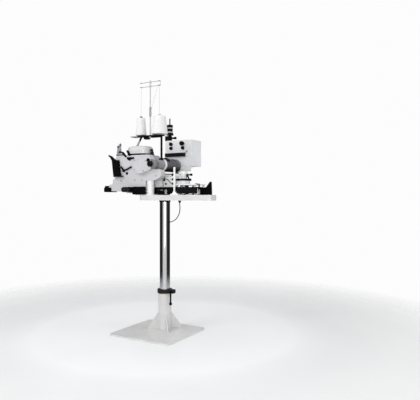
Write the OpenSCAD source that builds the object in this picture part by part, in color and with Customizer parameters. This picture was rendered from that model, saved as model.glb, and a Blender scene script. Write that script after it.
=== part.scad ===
// Bag closer sewing machine: a sewing head with belt in-feed, thread stand and
// control box on a table that rides on a lift column. Millimetres, +Z up.
// The bag mouth travels along -X in the plane Y = bag_y, open side down.

/* [Stand] */
// height of the table's top above the floor
table_z = 1170; // [1120:10:1220]
// thickness of the table and of the front bar
table_t = 42; // [38:1:46]
// outside diameter of the chrome lift column
column_d = 89; // [86:1:92]
// wall of the lift column
column_wall = 5; // [4:0.5:6]
// width of the base plate along the bag's travel
base_w = 600; // [580:10:700]
// depth of the base plate
base_d = 580; // [560:10:640]
// thickness of the base plate
base_t = 15; // [12:1:20]
// anchor hole diameter in the base plate
anchor_d = 14; // [12:1:18]

/* [Bag slot] */
// plane that the bag mouth travels in, measured from the column axis
bag_y = -330; // [-330:1:-330]
// clear width of the bag slot
slot_w = 24; // [22:1:24]

/* [Sewing head] */
// height of the needle line above the table
needle_h = 44; // [44:1:44]
// height of the head casting above the table
head_h = 320; // [320:1:320]
// height of the rounded top cover
cover_h = 76; // [70:1:85]
// plan corner radius of the top cover
cover_r = 60; // [40:1:66]

/* [Drive] */
// radius of the motor's body over the fins
motor_r = 54; // [52:1:56]
// radius of the clutch housing
clutch_r = 33; // [32:1:36]
// radius of the hand knob
knob_r = 23.5; // [18:0.5:23.5]

/* [Thread stand] */
// height of the spool plate above the table
plate_h = 475; // [475:1:475]
// bottom radius of the small thread cone
small_r = 45; // [35:1:55]
// bottom radius of the big thread cone
big_r = 67; // [55:1:75]
// radius of the centre pole
pole_r = 5; // [4:0.5:6]

/* [In-feed] */
// radius of the belt pulleys
pulley_r = 24; // [22:1:24]
// thickness of the in-feed belts
belt_t = 4; // [3:0.5:4]
// height of the in-feed belts
belt_h = 48; // [40:1:48]

/* [Control box] */
// width of the control box
box_w = 263; // [263:1:263]
// depth of the control box behind its door
box_d = 162; // [120:2:200]
// height of the control box
box_h = 223; // [223:1:223]

/* [Hidden] */
$fn = 64;
zt = table_z;
zb = table_z - table_t;
cr = column_d / 2;
ci = cr - column_wall;
yf = bag_y - slot_w / 2;          // front face of the slot
yr = bag_y + slot_w / 2;          // rear face of the slot
nz = zt + needle_h;
base_y = -100;
tube_top = 318;
msx = 55;  msz = zt + 230;        // main shaft
mox = 175; moz = zt + 242;        // motor axis
px = 67; py = -300;               // thread pole
cones = [-26, 158];
dx = 388; ix = 530;               // in-feed drive and idler
ry = -300; fy = -361;             // rear and front belt lines
tn = [-194, -172]; tny = -388;    // tension posts
tt = [412, 427];                  // their tops above the table
cbz = zt + 248; cbt = cbz + box_h;
hx = 267; hy = 9;                 // door hinge
white = [0.90, 0.90, 0.89];
pale = [0.80, 0.80, 0.79];
grey = [0.70, 0.70, 0.71];
beige = [0.74, 0.72, 0.69];
dark = [0.27, 0.28, 0.29];
black = [0.06, 0.06, 0.065];
steel = [0.68, 0.69, 0.70];
bronze = [0.72, 0.55, 0.28];
yarn = [0.93, 0.92, 0.89];

// routes of the cable and of the threads
cable_r = 3.75;
cable_pts = [[154, 0, zb - 24], [154, 0, zb - 30], [154.4, 0, zb - 40], [156, 0, zb - 54], [156.5, 0, zb - 70],
    [155, 0, zb - 90], [151, 0, zb - 109], [144, 0, zb - 127], [134, 0, zb - 144], [121, 0, zb - 159],
    [106, 0, zb - 171], [90, 0, zb - 180], [74, 0, zb - 186], [64, 0, zb - 189], [57, 0, zb - 190], [52, 0, zb - 190]];
thread_r = 0.6;
thread_a_pts = [for (i = [0:16]) let (t = i / 16) [cones[0] + 15.8 * (1 - t) + 2 * t, py - 21.9 * (1 - t), zt + 631.9 + 249.1 * t]];
thread_b_pts = [[184.9, -337.3, zt + 635], [178.2, -328.1, zt + 691.3], [171.5, -318.9, zt + 747.5], [164.7, -309.7, zt + 803.8],
    [158, -300.5, zt + 860], [158, -301, zt + 876], [157.6, -302, zt + 882], [156.2, -303.4, zt + 886],
    [153.8, -305.4, zt + 887.4], [150.8, -307.2, zt + 886], [148.6, -308.2, zt + 881], [146.8, -308.5, zt + 874],
    [130, -308.5, zt + 824], [110, -308.5, zt + 768], [90, -308.5, zt + 711], [77, -308.5, zt + 674]];

// ---- shapes that repeat
module slab(a, b, c, d, e, f) { translate([a, c, e]) cube([b - a, d - c, f - e]); }
module cz(x, y, r, a, b) { translate([x, y, a]) cylinder(h = b - a, r = r); }
module cy(x, z, r, a, b) { translate([x, a, z]) rotate([-90, 0, 0]) cylinder(h = b - a, r = r); }
module cx(y, z, r, a, b) { translate([a, y, z]) rotate([0, 90, 0]) cylinder(h = b - a, r = r); }
module rr(a, b, c, d, r) {
    translate([a + r, c]) square([b - a - 2 * r, d - c]);
    translate([a, c + r]) square([b - a, d - c - 2 * r]);
    for (x = [a + r, b - r], y = [c + r, d - r]) translate([x, y]) circle(r);
}
module rslab(a, b, c, d, e, f, r) { translate([0, 0, e]) linear_extrude(f - e) rr(a, b, c, d, r); }
module ext_y(a, b) { translate([0, b, 0]) rotate([90, 0, 0]) linear_extrude(b - a) children(); }
module loop2(x1, y1, r1, x2, y2, r2) {
    d = norm([x2 - x1, y2 - y1]);
    a = atan2(y2 - y1, x2 - x1);
    b = acos((r1 - r2) / d);
    translate([x1, y1]) circle(r1);
    translate([x2, y2]) circle(r2);
    polygon([[x1 + r1 * cos(a + b), y1 + r1 * sin(a + b)], [x1 + r1 * cos(a - b), y1 + r1 * sin(a - b)],
        [x2 + r2 * cos(a - b), y2 + r2 * sin(a - b)], [x2 + r2 * cos(a + b), y2 + r2 * sin(a + b)]]);
}
function unit(v) = v / norm(v);
function tangent(p, i) = unit(p[min(i + 1, len(p) - 1)] - p[max(i - 1, 0)]);
module sweep(p, r, n) {
    m = len(p);
    pts = [for (i = [0:m - 1]) let (t = tangent(p, i), s = unit(cross([0, 1, 0], t)), w = cross(t, s))
        for (k = [0:n - 1]) p[i] + r * (cos(360 * k / n) * s + sin(360 * k / n) * w)];
    sides = [for (i = [0:m - 2], k = [0:n - 1]) let (a = i * n + k, b = i * n + (k + 1) % n) each [[a, b, b + n], [a, b + n, a + n]]];
    polyhedron(points = pts, faces = concat([[for (k = [0:n - 1]) k]], [[for (k = [0:n - 1]) m * n - 1 - k]],
        [for (f = sides) [f[2], f[1], f[0]]]));
}

// ---- stand
module base_plate() {
    color(white) difference() {
        rslab(-base_w / 2, base_w / 2, base_y - base_d / 2, base_y + base_d / 2, 0, base_t, 40);
        for (x = [-260, 260], y = [-250, 250]) cz(x, base_y + y, anchor_d / 2, -1, base_t + 1);
    }
}
module base_tube() {
    color(white) difference() {
        union() {
            cz(0, 0, cr + 12.5, base_t, tube_top);
            for (a = [45:90:315]) rotate(a) ext_y(-4, 4)
                polygon([[cr + 9, base_t], [150, base_t], [150, base_t + 10], [cr + 16, 150], [cr + 9, 150]]);
        }
        cz(0, 0, cr + 7.5, base_t - 1, tube_top + 1);
    }
}
module guide_bush() {
    color(bronze) difference() {
        union() {
            cz(0, 0, cr + 7.45, tube_top - 70, tube_top);
            cz(0, 0, cr + 12.5, tube_top, tube_top + 6);
        }
        cz(0, 0, cr + 0.05, tube_top - 71, tube_top + 7);
    }
}
module clamp_collar() {
    color(dark) difference() {
        union() {
            cz(0, 0, cr + 20, tube_top + 6, tube_top + 38);
            slab(50, 97, -22, 22, tube_top + 6, tube_top + 38);
        }
        cz(0, 0, cr + 0.1, tube_top + 5, tube_top + 39);
        slab(40, 98, -2, 2, tube_top + 5, tube_top + 39);
        cy(83, tube_top + 22, 6.08, -23, 23);
    }
}
module clamp_lever() {
    z = tube_top + 22;
    color(black) union() {
        cy(83, z, 6, -36, 31);
        cy(83, z, 11, -40, -22.4);
        cy(83, z, 10, 22.4, 30);
        slab(78, 88, -38, -28, z - 96, z);
        translate([83, -33, z - 102]) sphere(r = 13);
    }
}
module lift_column() {
    color(steel) difference() {
        cz(0, 0, cr, 130, zt - 6);
        cz(0, 0, ci, 129, zt - 5);
        cx(0, zb - 190, 7, 20, 60);
    }
}
module table_outline(k) {
    polygon([[-25 + k * 0.45, yr + k], [640 - k, yr + k], [640 - k, -228 - k], [430 - k * 0.45, -228 - k], [330 - k, -118 - k * 0.4],
        [330 - k, 75 - k], [-105 + k, 75 - k], [-105 + k, -215 + k * 0.4]]);
}
module table() {
    color(white) difference() {
        union() {
            difference() {
                translate([0, 0, zb]) linear_extrude(table_t) table_outline(0);
                translate([0, 0, zb + 4]) linear_extrude(table_t - 10) table_outline(5);
            }
            cz(0, 0, cr + 12, zb, zt - 3);
            slab(100, 105, yr + 2, 73, zb + 2, zt - 3);
            slab(420, 425, yr + 2, -226, zb + 2, zt - 3);
        }
        cz(0, 0, cr + 0.05, zb - 1, zt - 6);
        cz(154, 0, 8, zb - 1, zb + 5);
        for (p = [[80, -150], [560, -270]]) cz(p[0], p[1], 4, zb - 1, zb + 5);
    }
}
module front_bar() {
    color(white) difference() {
        rslab(50, 700, -415, yf, zb, zt, 5);
        slab(55, 695, -410, yf - 5, zb + 4, zt - 4);
        for (x = [120, 650]) cz(x, -378, 4, zb - 1, zb + 5);
    }
}
module front_supports() {
    color(white) union() {
        cz(129, -378, 27.5, zt, zt + 113);
        cz(129, -378, 35, zt, zt + 7);
    }
    color(white) difference() {
        union() {
            cz(366, -394, 7.5, zt, zt + 213);
            translate([366, -394, zt]) cylinder(h = 17, r1 = 13, r2 = 7.5);
            slab(361, 371, -394, -318, zt + 164, zt + 174);
            cz(dx, ry, 39, zt + 164, zt + 174);
        }
        cz(dx, ry, 33.1, zt + 163, zt + 175);
    }
}
module cable_fittings() {
    color(black) union() {
        cz(154, 0, 7.8, zb - 12, zb + 8);
        translate([154, 0, zb - 12]) cylinder(h = 12, r = 13, $fn = 6);
        cz(154, 0, 9, zb - 24, zb - 12);
    }
    color(black) union() {
        cx(0, zb - 190, 6.8, cr - 5, cr + 2);
        cx(0, zb - 190, 10, cr + 0.1, 52);
    }
}
module cable() { color(black) sweep(cable_pts, cable_r, 10); }

// ---- sewing head
module head_frame() {
    color(grey) difference() {
        union() {
            ext_y(-400, yf) polygon([[-205, zt + 144], [-240, zt + 126], [-243, zt + 92], [-282, zt + 82], [-282, zt + 34], [-205, zt + 30], [-165, zt + 28],
                [95, zt + 28], [95, zt + 113], [178, zt + 113], [208, zt + 125], [234, zt + 136], [246, zt + 152], [246, zt + 178],
                [232, zt + 196], [206, zt + 204], [150, zt + 204], [150, zt + 284], [118, zt + head_h], [-205, zt + head_h]]);
            translate([-200, 0, 0]) rotate([90, 0, 90]) linear_extrude(312)
                polygon([[yf - 1, zt + 130], [-205, zt + 130], [-205, zt + head_h - 40], [-240, zt + head_h], [yf - 1, zt + head_h]]);
            slab(-165, 112, yr, -205, zt + 16, zt + 130);
            slab(-72, 112, yr, -205, zt, zt + 16);
            for (z = [zt + 134, zt + 285.6]) {
                cz(-214, -404.4, 4.5, z, z + 11.9);
                slab(-214, -196, -407, -398, z, z + 11.9);
            }
            cz(-214, -404.4, 2, zt + 134, zt + 297);
        }
        slab(-188, 100, -388, -217, zt + 142, zt + 308);
        slab(-80, 50, -380, -262, zt + 300, zt + head_h + 1);
        slab(-35, 100, -300, -217, zt - 1, zt + 118);
        slab(-105, -39, yr - 1, -268, zt + 28, zt + 80);
        cy(msx, msz, 10.05, -401, -204);
        cy(mox, moz, clutch_r + 0.1, -401, yf + 1);
        cy(-72, nz, 8.05, -401, yf + 1);
        cy(-38, nz, 6.05, -401, yf + 1);
        cy(-121, zt + 197, 5.05, -401, -387);
        cy(mox, moz, clutch_r + 5.4, -351, yf + 1);
        cz(-85, -290, 5.05, zt + 19, zt + 90);
    }
}
module pill(r, h, f) {
    rotate_extrude($fn = 40) polygon(concat([[0, 0], [r, 0]], [for (i = [0:6]) [r - f + f * cos(i * 15), h - f + f * sin(i * 15)]], [[0, h]]));
}
module top_cover() {
    x0 = -118; x1 = 86; y0 = -398; y1 = -242;
    color(beige) difference() {
        hull() for (x = [x0 + cover_r, x1 - cover_r], y = [y0 + cover_r, y1 - cover_r])
            translate([x, y, zt + head_h]) pill(cover_r, cover_h, cover_r - 20);
        hull() for (x = [x0 + cover_r, x1 - cover_r], y = [y0 + cover_r, y1 - cover_r])
            translate([x, y, zt + head_h - 5]) pill(cover_r - 5, cover_h, cover_r - 24);
    }
}
module head_screws() {
    color(black) {
        for (p = [[10, 202], [94, 190], [42, 280], [118, 268]]) cy(p[0], zt + p[1], 4.5, -434, -430);
        cy(150, zt + 268, 12, -448, -430);
        for (p = [[-150, 116], [-10, 120], [60, 120], [196, 150]]) cy(p[0], zt + p[1], 5, -405, -400);
        cy(-92, zt + 175, 10, -402.4, -400);
        for (x = [136, 164], y = [-276, -216]) cz(x, y, 7, zt + 8, zt + 14);
        for (x = [98, 172], y = [-5, 66]) cz(x, y, 5, zt + 8, zt + 13);
    }
}
module belt_guard() {
    color(grey) difference() {
        ext_y(-430, -400) loop2(msx, msz, 62, mox, moz, 36);
        ext_y(-426, -399) loop2(msx, msz, 58, mox, moz, 32);
        cy(mox, moz, 12, -431, -425);
    }
}
module throat_plate() {
    color(steel) difference() {
        slab(-115, -25, yr - 3, yr, zt + 18, zt + 92);
        cy(-72, nz, 3, yr - 4, yr + 1);
    }
}
module needle_housing() {
    color(black) difference() {
        union() {
            cy(-100, nz, 21, -438, -400);
            cy(-45, nz, 21, -438, -400);
            slab(-100, -45, -432, -400, nz - 15, nz + 15);
        }
        cy(-72, nz, 8.05, -439, -399);
        cy(-38, nz, 6.05, -439, -399);
    }
    color(black) difference() {
        rslab(-20, 100, -424, -400, zt + 4, zt + 66, 4);
        slab(-14, 94, -425, -419, zt + 12, zt + 58);
    }
}
module thread_guides() {
    color(steel) for (i = [0, 1]) union() {
        cz(tn[i], tny, 10, zt + head_h, zt + head_h + 9);
        cz(tn[i], tny, 4, zt + head_h, zt + tt[i]);
        cz(tn[i], tny, 10.4, zt + tt[i] - 58, zt + tt[i] - 56);
        cz(tn[i], tny, 10.4, zt + tt[i] - 55, zt + tt[i] - 53);
        for (z = [-51:4:-30]) cz(tn[i], tny, 7, zt + tt[i] + z, zt + tt[i] + z + 2);
        cz(tn[i], tny, 5.5, zt + tt[i] - 53, zt + tt[i] - 27);
    }
    color(black) ext_y(-408, -400) {
        polygon([[-106, zt + 303], [-92, zt + 307], [-132, zt + 353], [-145, zt + 346]]);
        polygon([[-64, zt + 303], [-48, zt + 307], [-80, zt + 363], [-94, zt + 356]]);
        polygon([[-88, zt + 289], [-74, zt + 289], [-74, zt + 279], [-54, zt + 279], [-50, zt + 289], [-17, zt + 290], [-17, zt + 305], [-60, zt + 310], [-88, zt + 312]]);
    }
}
module cutter_body() {
    color(black) difference() {
        union() {
            rslab(-330, -282, -400, yr + 20, zt + 66, zt + 76, 5);
            rslab(-330, -282, -400, yf, zt + 24, zt + 66, 5);
            rslab(-330, -282, yr, yr + 20, zt + 24, zt + 66, 5);
        }
        slab(-300, -293.8, -396, yf + 1, zt + 32, zt + 60);
    }
}
module cutter_knife() {
    color(steel) slab(-299.6, -294.2, -395, yf - 2, zt + 32.4, zt + 59.6);
}
module needle_bar() {
    color(steel) union() {
        cy(-72, nz, 8, -470, -363);
        cy(-72, nz, 1.3, -364, -343.5);
    }
}
module looper() {
    color(steel) union() {
        cz(-85, -290, 5, zt + 20, zt + 89);
        slab(-88, -82, -312, -290, zt + 38, zt + 48);
        slab(-88, -76, -312, -308, zt + 38, zt + 48);
    }
}
module presser_foot() {
    color(steel) difference() {
        union() {
            cy(-38, nz, 6, -462, -327);
            cy(-38, nz, 10, -462, -454);
            slab(-110, -20, -329, -325, zt + 30, zt + 60);
        }
        cy(-72, nz, 4, -330, -324);
    }
}
module presser_lever() {
    x = -121; z = zt + 197;
    color(black) union() {
        cy(x, z, 11, -414, -400.4);
        cy(x, z, 5, -414, -386);
        ext_y(-412, -403) {
            polygon([[x - 7, z + 3], [x + 2, z + 8], [x - 22, z + 37], [x - 31, z + 32]]);
            polygon([[x - 2, z + 9], [x + 4, z - 2], [x + 34, z + 4], [x + 78, z + 23], [x + 75, z + 33], [x + 32, z + 15]]);
        }
        translate([x + 76, -407.5, z + 28]) sphere(r = 7);
    }
}
module needle_cover() {
    color(black) difference() {
        union() {
            difference() {
                ext_y(-428, -400.4) polygon([[-230, zt + 284], [-169, zt + 284], [-149, zt + 157], [-128, zt + 157], [-128, zt + 148], [-212, zt + 148]]);
                ext_y(-425, -399) polygon([[-226.5, zt + 280], [-171.5, zt + 280], [-152.5, zt + 160], [-152.5, zt + 152], [-209.5, zt + 152]]);
            }
            cz(-214, -404.4, 4, zt + 148, zt + 284);
            ext_y(-428, -411) polygon([[-229, zt + 281], [-196, zt + 281], [-200, zt + 288], [-238, zt + 319], [-264, zt + 328], [-267, zt + 320], [-248, zt + 308]]);
        }
        cz(-214, -404.4, 2.05, zt + 147, zt + 285);
    }
}
module tension_nut(i) {
    color(black) difference() {
        cz(tn[i], tny, 9, zt + tt[i] - 26, zt + tt[i] - 8);
        cz(tn[i], tny, 4.05, zt + tt[i] - 27, zt + tt[i] - 7);
    }
}
module tension_nut_a() { tension_nut(0); }
module tension_nut_b() { tension_nut(1); }

// ---- drive
module main_shaft() {
    color(steel) union() {
        cy(msx, msz, 10, -424, -192);
        cy(msx, msz, 48, -422, -404);
        cy(msx, msz, 38, -345, -325);
        cy(msx, msz, 16, -204.4, -194);
    }
}
module motor_shaft() {
    color(black) union() {
        cy(mox, moz, 8, -440, -374);
        cy(mox, moz, 26, -422, -404);
        cy(mox, moz, knob_r - 4, -464, -434);
        cy(mox, moz, knob_r, -460, -438);
    }
}
module drive_belt() {
    color(black) difference() {
        ext_y(-421, -405) loop2(msx, msz, 52, mox, moz, 30);
        ext_y(-422, -404) loop2(msx, msz, 48.4, mox, moz, 26.4);
    }
}
module motor_bracket() {
    color(pale) difference() {
        union() {
            ext_y(-306, -294) {
                translate([mox, moz]) circle(47);
                polygon([[114, zt], [186, zt], [186, zt + 150], [mox + 47, moz], [mox - 47, moz], [114, zt + 172]]);
            }
            slab(160, 196, -306, -294, zt + 270, zt + 292);
            slab(114, 186, -306, -200, zt, zt + 8);
            for (x = [115, 178]) translate([x, 0, 0]) rotate([90, 0, 90]) linear_extrude(7)
                polygon([[-296, zt + 6], [-206, zt + 6], [-206, zt + 16], [-290, zt + 170], [-296, zt + 170]]);
        }
        cy(mox, moz, clutch_r + 0.1, -307, -293);
    }
}
module motor_body() {
    color(dark) union() {
        cy(mox, moz, motor_r - 7, -294, -280);
        cy(mox, moz, motor_r - 2, -280, -270);
        cy(mox, moz, motor_r - 5, -271, -135);
        ext_y(-270, -135) for (a = [0:15:345]) translate([mox, moz]) rotate(a) translate([motor_r - 7, -1.5]) square([7, 3]);
        cy(mox, moz, motor_r + 1, -135, -95);
        cy(mox, moz, motor_r - 3, -96, -88);
        slab(mox - motor_r - 20, mox - motor_r + 14, -200, -140, moz - 28, moz + 28);
    }
}
module clutch_housing() {
    color(dark) difference() {
        union() {
            cy(mox, moz, clutch_r, -400, -294);
            cy(mox, moz, clutch_r + 4, -350, -306);
            for (y = [-350, -334, -318]) cy(mox, moz, clutch_r + 5, y, y + 12);
        }
        cy(mox, moz, 8.05, -401, -372);
    }
}

// ---- thread stand
module stand_post() {
    color(black) union() {
        cz(178, py, 8.5, zt + 292, zt + plate_h);
        cz(178, py, 10, zt + 292, zt + 299);
    }
}
module thread_plate() {
    color(dark) difference() {
        union() {
            rslab(-115, 194, -340, -262, zt + plate_h, zt + plate_h + 6, 20);
            slab(82, 166, -310, -290, zt + plate_h - 12, zt + plate_h + 1);
            slab(14, 54, -318, -282, zt + plate_h - 22, zt + plate_h + 1);
            ext_y(-306, -294) polygon([[-78, zt + head_h + cover_h], [-54, zt + head_h + cover_h], [-54, zt + head_h + cover_h + 4],
                [-62, zt + head_h + cover_h + 4], [-14, zt + plate_h + 1], [-28, zt + plate_h + 1], [-76, zt + head_h + cover_h + 4], [-78, zt + head_h + cover_h + 4]]);
        }
        cz(px, py, pole_r + 0.1, zt + plate_h - 1, zt + plate_h + 7);
    }
}
module thread_pole() {
    color(dark) union() {
        cz(px, py, pole_r, zt + plate_h - 14, zt + 929);
        translate([px, py, zt + plate_h - 10]) cylinder(h = 10, r = 10, $fn = 6);
        translate([px, py, zt + plate_h + 6]) cylinder(h = 8, r = 10, $fn = 6);
        cz(px, py, 8, zt + 636, zt + 712);
        for (z = [zt + 881, zt + 916]) {
            cz(px, py, 9, z - 7, z + 7);
            cx(py, z, 3.5, cones[0] + 9, cones[1] - 7);
            for (x = [cones[0] + 2, cones[1]]) translate([x, py, z]) rotate_extrude() translate([8, 0]) circle(2.2);
        }
    }
}
module cone_core(r1, r2, h) {
    difference() {
        cylinder(h = h, r1 = r1, r2 = r2);
        translate([0, 0, -0.01]) cylinder(h = h + 0.02, r1 = r1 - 2.5, r2 = r2 - 2.5);
    }
}
module spool_rests() {
    color(black) for (i = [0, 1]) union() {
        cz(cones[i], py, i == 0 ? 28 : 36, zt + plate_h + 6, zt + plate_h + 12);
        cz(cones[i], py, 4, zt + plate_h + 6, zt + plate_h + 150);
        translate([cones[i], py, zt + plate_h + 12]) cone_core(i == 0 ? 17 : 24, i == 0 ? 11 : 14, i == 0 ? 156 : 159);
    }
}
module package(x, r1, r2, h, c1, c2) {
    translate([x, py, zt + plate_h + 13]) difference() {
        cylinder(h = h, r1 = r1, r2 = r2);
        translate([0, 0, -0.01]) cylinder(h = h + 0.02, r1 = c1, r2 = c2);
    }
}
module small_cone() { color(yarn) package(cones[0], small_r, small_r - 12, 143, 17.3, 11.8); }
module big_cone() { color(yarn) package(cones[1], big_r, big_r - 16, 146, 24.3, 15.1); }
module thread_a() { color(yarn) sweep(thread_a_pts, thread_r, 8); }
module thread_b() { color(yarn) sweep(thread_b_pts, thread_r, 8); }

// ---- in-feed
module rail_plate(y0, y1, x0, wx) {
    difference() {
        union() {
            slab(172, 346, y0, y1, zt, zt + 62);
            slab(x0, 173, y0, y1, zt + 8, zt + 62);
        }
        slab(wx, 262, y0 - 1, y1 + 1, zt + 6, zt + 46);
        slab(172, 226, y0 - 1, y1 + 1, zt + 33, zt + 43);
    }
}
module guide_rails() {
    color(black) {
        union() { rail_plate(yf - 3, yf, 140, 238); slab(172, 346, yf - 28, yf, zt, zt + 3); }
        union() { rail_plate(yr, yr + 3, 160, 212); slab(172, 346, yr, yr + 10, zt, zt + 3); }
        union() {
            slab(566, 616, yf - 3, yf, zt, zt + 54);
            slab(568, 614, yf - 22, yf, zt, zt + 3);
            translate([614, yf - 1.5, 0]) rotate(-31) ext_y(-1.5, 1.5) polygon([[0, zt], [44, zt], [44, zt + 12], [58, zt + 12], [58, zt], [97, zt],
                [97, zt + 20], [92, zt + 91], [86, zt + 97], [74, zt + 98], [62, zt + 95], [0, zt + 54]]);
        }
        union() {
            slab(584, 602, yr, yr + 3, zt, zt + 58);
            slab(584, 602, yr, yr + 12, zt, zt + 3);
            translate([600, yr + 1.5, 0]) rotate(35) ext_y(-1.5, 1.5) polygon([[0, zt], [38, zt], [38, zt + 44], [30, zt + 58], [0, zt + 58]]);
        }
    }
}
module infeed_frame() {
    color(pale) difference() {
        union() {
            rslab(352, 562, -329, -248, zt + 74, zt + 82, 12);
            for (x = [450, 545]) cz(x, -259, 8, zt, zt + 75);
        }
        cz(dx, ry, 7.05, zt + 73, zt + 83);
        cz(ix, ry, 6.05, zt + 73, zt + 83);
    }
    color(pale) for (p = [[dx, ry, 7.05], [ix, ry, 6.05], [dx, fy, 7.05]]) difference() {
        cz(p[0], p[1], 14, zt, zt + 9);
        cz(p[0], p[1], p[2], zt + 2, zt + 10);
    }
}
module infeed_motor() {
    color(pale) difference() {
        union() {
            cz(dx, ry, 52, zt + 82, zt + 112);
            cz(dx, ry, 62, zt + 111, zt + 126);
            cz(dx, ry, 33, zt + 125, zt + 178);
            cz(dx, ry, 25, zt + 177, zt + 184);
            ext_y(ry - 14, ry - 6) difference() {
                polygon([[dx + 22, zt + 125], [dx + 61, zt + 125], [dx + 47, zt + 156], [dx + 36, zt + 156]]);
                polygon([[dx + 35.5, zt + 129], [dx + 50, zt + 129], [dx + 43, zt + 145], [dx + 40, zt + 145]]);
            }
            cx(ry - 10, zt + 156, 5.5, dx + 8, dx + 72);
            cx(ry - 10, zt + 156, 9, dx + 70, dx + 84);
        }
        cz(dx, ry, 7.05, zt + 81, zt + 100);
    }
}
module belt_loop(y) {
    difference() {
        translate([0, 0, zt + 12]) linear_extrude(belt_h) loop2(dx, y, pulley_r + 0.4 + belt_t, ix, y, pulley_r + 0.4 + belt_t);
        translate([0, 0, zt + 11]) linear_extrude(belt_h + 2) loop2(dx, y, pulley_r + 0.4, ix, y, pulley_r + 0.4);
    }
}
module rear_belt() { color(black) belt_loop(ry); }
module front_belt() { color(black) belt_loop(fy); }
module drive_pulley(y, top) {
    cz(dx, y, pulley_r, zt + 11, zt + 61);
    cz(dx, y, 7, zt + 3, zt + top);
    cz(dx, y, 29.6, zt + 65, zt + 71);
}
module idler(y, top) {
    cz(ix, y, pulley_r, zt + 11, zt + 61);
    cz(ix, y, 6, zt + 3.5, zt + top);
}
module rear_drive() { color(steel) union() drive_pulley(ry, 98); }
module rear_idler() { color(steel) union() idler(ry, 86); }
module front_drive() { color(steel) union() drive_pulley(fy, 86); }
module front_idler() { color(steel) union() idler(fy, 86); }
module front_frame() {
    color(black) difference() {
        union() {
            rslab(366, 556, -385, -337, zt + 75, zt + 82, 10);
            slab(446, 470, -369, -353, zt + 3, zt + 76);
            rslab(446, 554, -384, -340, zt + 3, zt + 8.5, 6);
        }
        cz(dx, fy, 7.05, zt + 74, zt + 83);
        cz(ix, fy, 6.05, zt + 2, zt + 83);
    }
}

// ---- control box
module control_box() {
    color(pale) difference() {
        union() {
            slab(0, box_w, 12, 12 + box_d, cbz, cbt);
            slab(0, box_w, 6, 13, cbz, cbz + 77);
            slab(0, box_w, 6, 11.5, cbz - 47, cbz + 1);
            for (z = [cbz + 82, cbz + 172]) {
                cz(hx, hy, 4, z, z + 30);
                slab(box_w - 1, hx, hy + 3.2, hy + 25, z, z + 30);
                slab(hx - 2, hx, hy, hy + 10, z, z + 30);
            }
            cz(hx, hy, 2, cbz + 82, cbz + 202);
        }
        slab(3, box_w - 3, 9, 9 + box_d, cbz + 3, cbt - 3);
    }
}
module box_mast() {
    color(pale) difference() {
        union() {
            slab(110, 160, 12, 62, zt + 4, cbz - 4);
            rslab(90, 180, -13, 74, zt, zt + 8, 8);
            slab(80, 230, 14, 120, cbz - 6, cbz);
        }
        slab(114, 156, 16, 58, zt + 9, cbz - 7);
    }
}
bt = [[63, 191], [63, 155], [183, 155], [183, 191]];   // selector, button, button, stop
module box_door() {
    color(pale) difference() {
        union() {
            slab(0, box_w - 0.4, 6, 11.6, cbz + 77.6, cbt);
            difference() {
                union() {
                    cz(hx, hy, 4, cbz + 112.5, cbz + 171.5);
                    slab(box_w - 5, hx, 6, 9, cbz + 112.5, cbz + 171.5);
                }
            }
            for (p = bt) cy(p[0], cbz + p[1], 15, 2, 7);
            slab(12, 216, -18, -7, cbz + 80, cbz + 112);
            for (x = [26, 186]) slab(x, x + 16, -8, 7, cbz + 87, cbz + 105);
        }
        cz(hx, hy, 2.05, cbz + 112, cbz + 172);
        for (p = bt) cy(p[0], cbz + p[1], 11.35, 1, 12);
    }
}
module selector() {
    p = bt[0];
    color(black) union() {
        cy(p[0], cbz + p[1], 11, -2, 18);
        cy(p[0], cbz + p[1], 14.5, -8, 1.5);
        slab(p[0] - 4, p[0] + 4, -20, -7, cbz + p[1] - 14, cbz + p[1] + 14);
    }
}
module push(p, r, d) {
    union() {
        cy(p[0], cbz + p[1], 11, -3, 18);
        cy(p[0], cbz + p[1], r, -d, -2);
    }
}
module button_a() { color(black) push(bt[1], 12.5, 10); }
module button_b() { color(black) push(bt[2], 12.5, 10); }
module stop_button() { color(black) union() { push(bt[3], 12, 12); cy(bt[3][0], cbz + bt[3][1], 18.5, -24, -11); } }
module regulator() {
    z = cbt;
    color(black) difference() {
        union() {
            rslab(-6, 42, 8, 52, z, z + 42, 4);
            cx(30, z + 23, 8, 40, 96);
            cx(30, z + 23, 11, 80, 96);
            cz(32, 30, 14, z + 41, z + 50);
            cz(32, 30, 31, z + 49, z + 66);
            cz(32, 30, 7, z + 65, z + 92);
        }
        cx(30, z + 23, 6.58, 84, 97);
    }
}
module regulator_knob() {
    z = cbt;
    color(black) difference() {
        union() {
            cz(32, 30, 26, z + 69, z + 140);
            cz(32, 30, 5, z + 139, z + 196);
        }
        cz(32, 30, 7.05, z + 68, z + 94);
    }
}

base_plate();
base_tube();
guide_bush();
clamp_collar();
clamp_lever();
lift_column();
table();
front_bar();
front_supports();
cable_fittings();
cable();
head_frame();
top_cover();
head_screws();
belt_guard();
throat_plate();
needle_housing();
thread_guides();
cutter_body();
cutter_knife();
needle_bar();
looper();
presser_foot();
presser_lever();
needle_cover();
tension_nut_a();
tension_nut_b();
main_shaft();
motor_shaft();
drive_belt();
motor_bracket();
motor_body();
clutch_housing();
stand_post();
thread_plate();
thread_pole();
spool_rests();
small_cone();
big_cone();
thread_a();
thread_b();
guide_rails();
infeed_frame();
infeed_motor();
rear_belt();
front_belt();
rear_drive();
rear_idler();
front_drive();
front_idler();
front_frame();
control_box();
box_mast();
box_door();
selector();
button_a();
button_b();
stop_button();
regulator();
regulator_knob();
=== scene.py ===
import math

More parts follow.
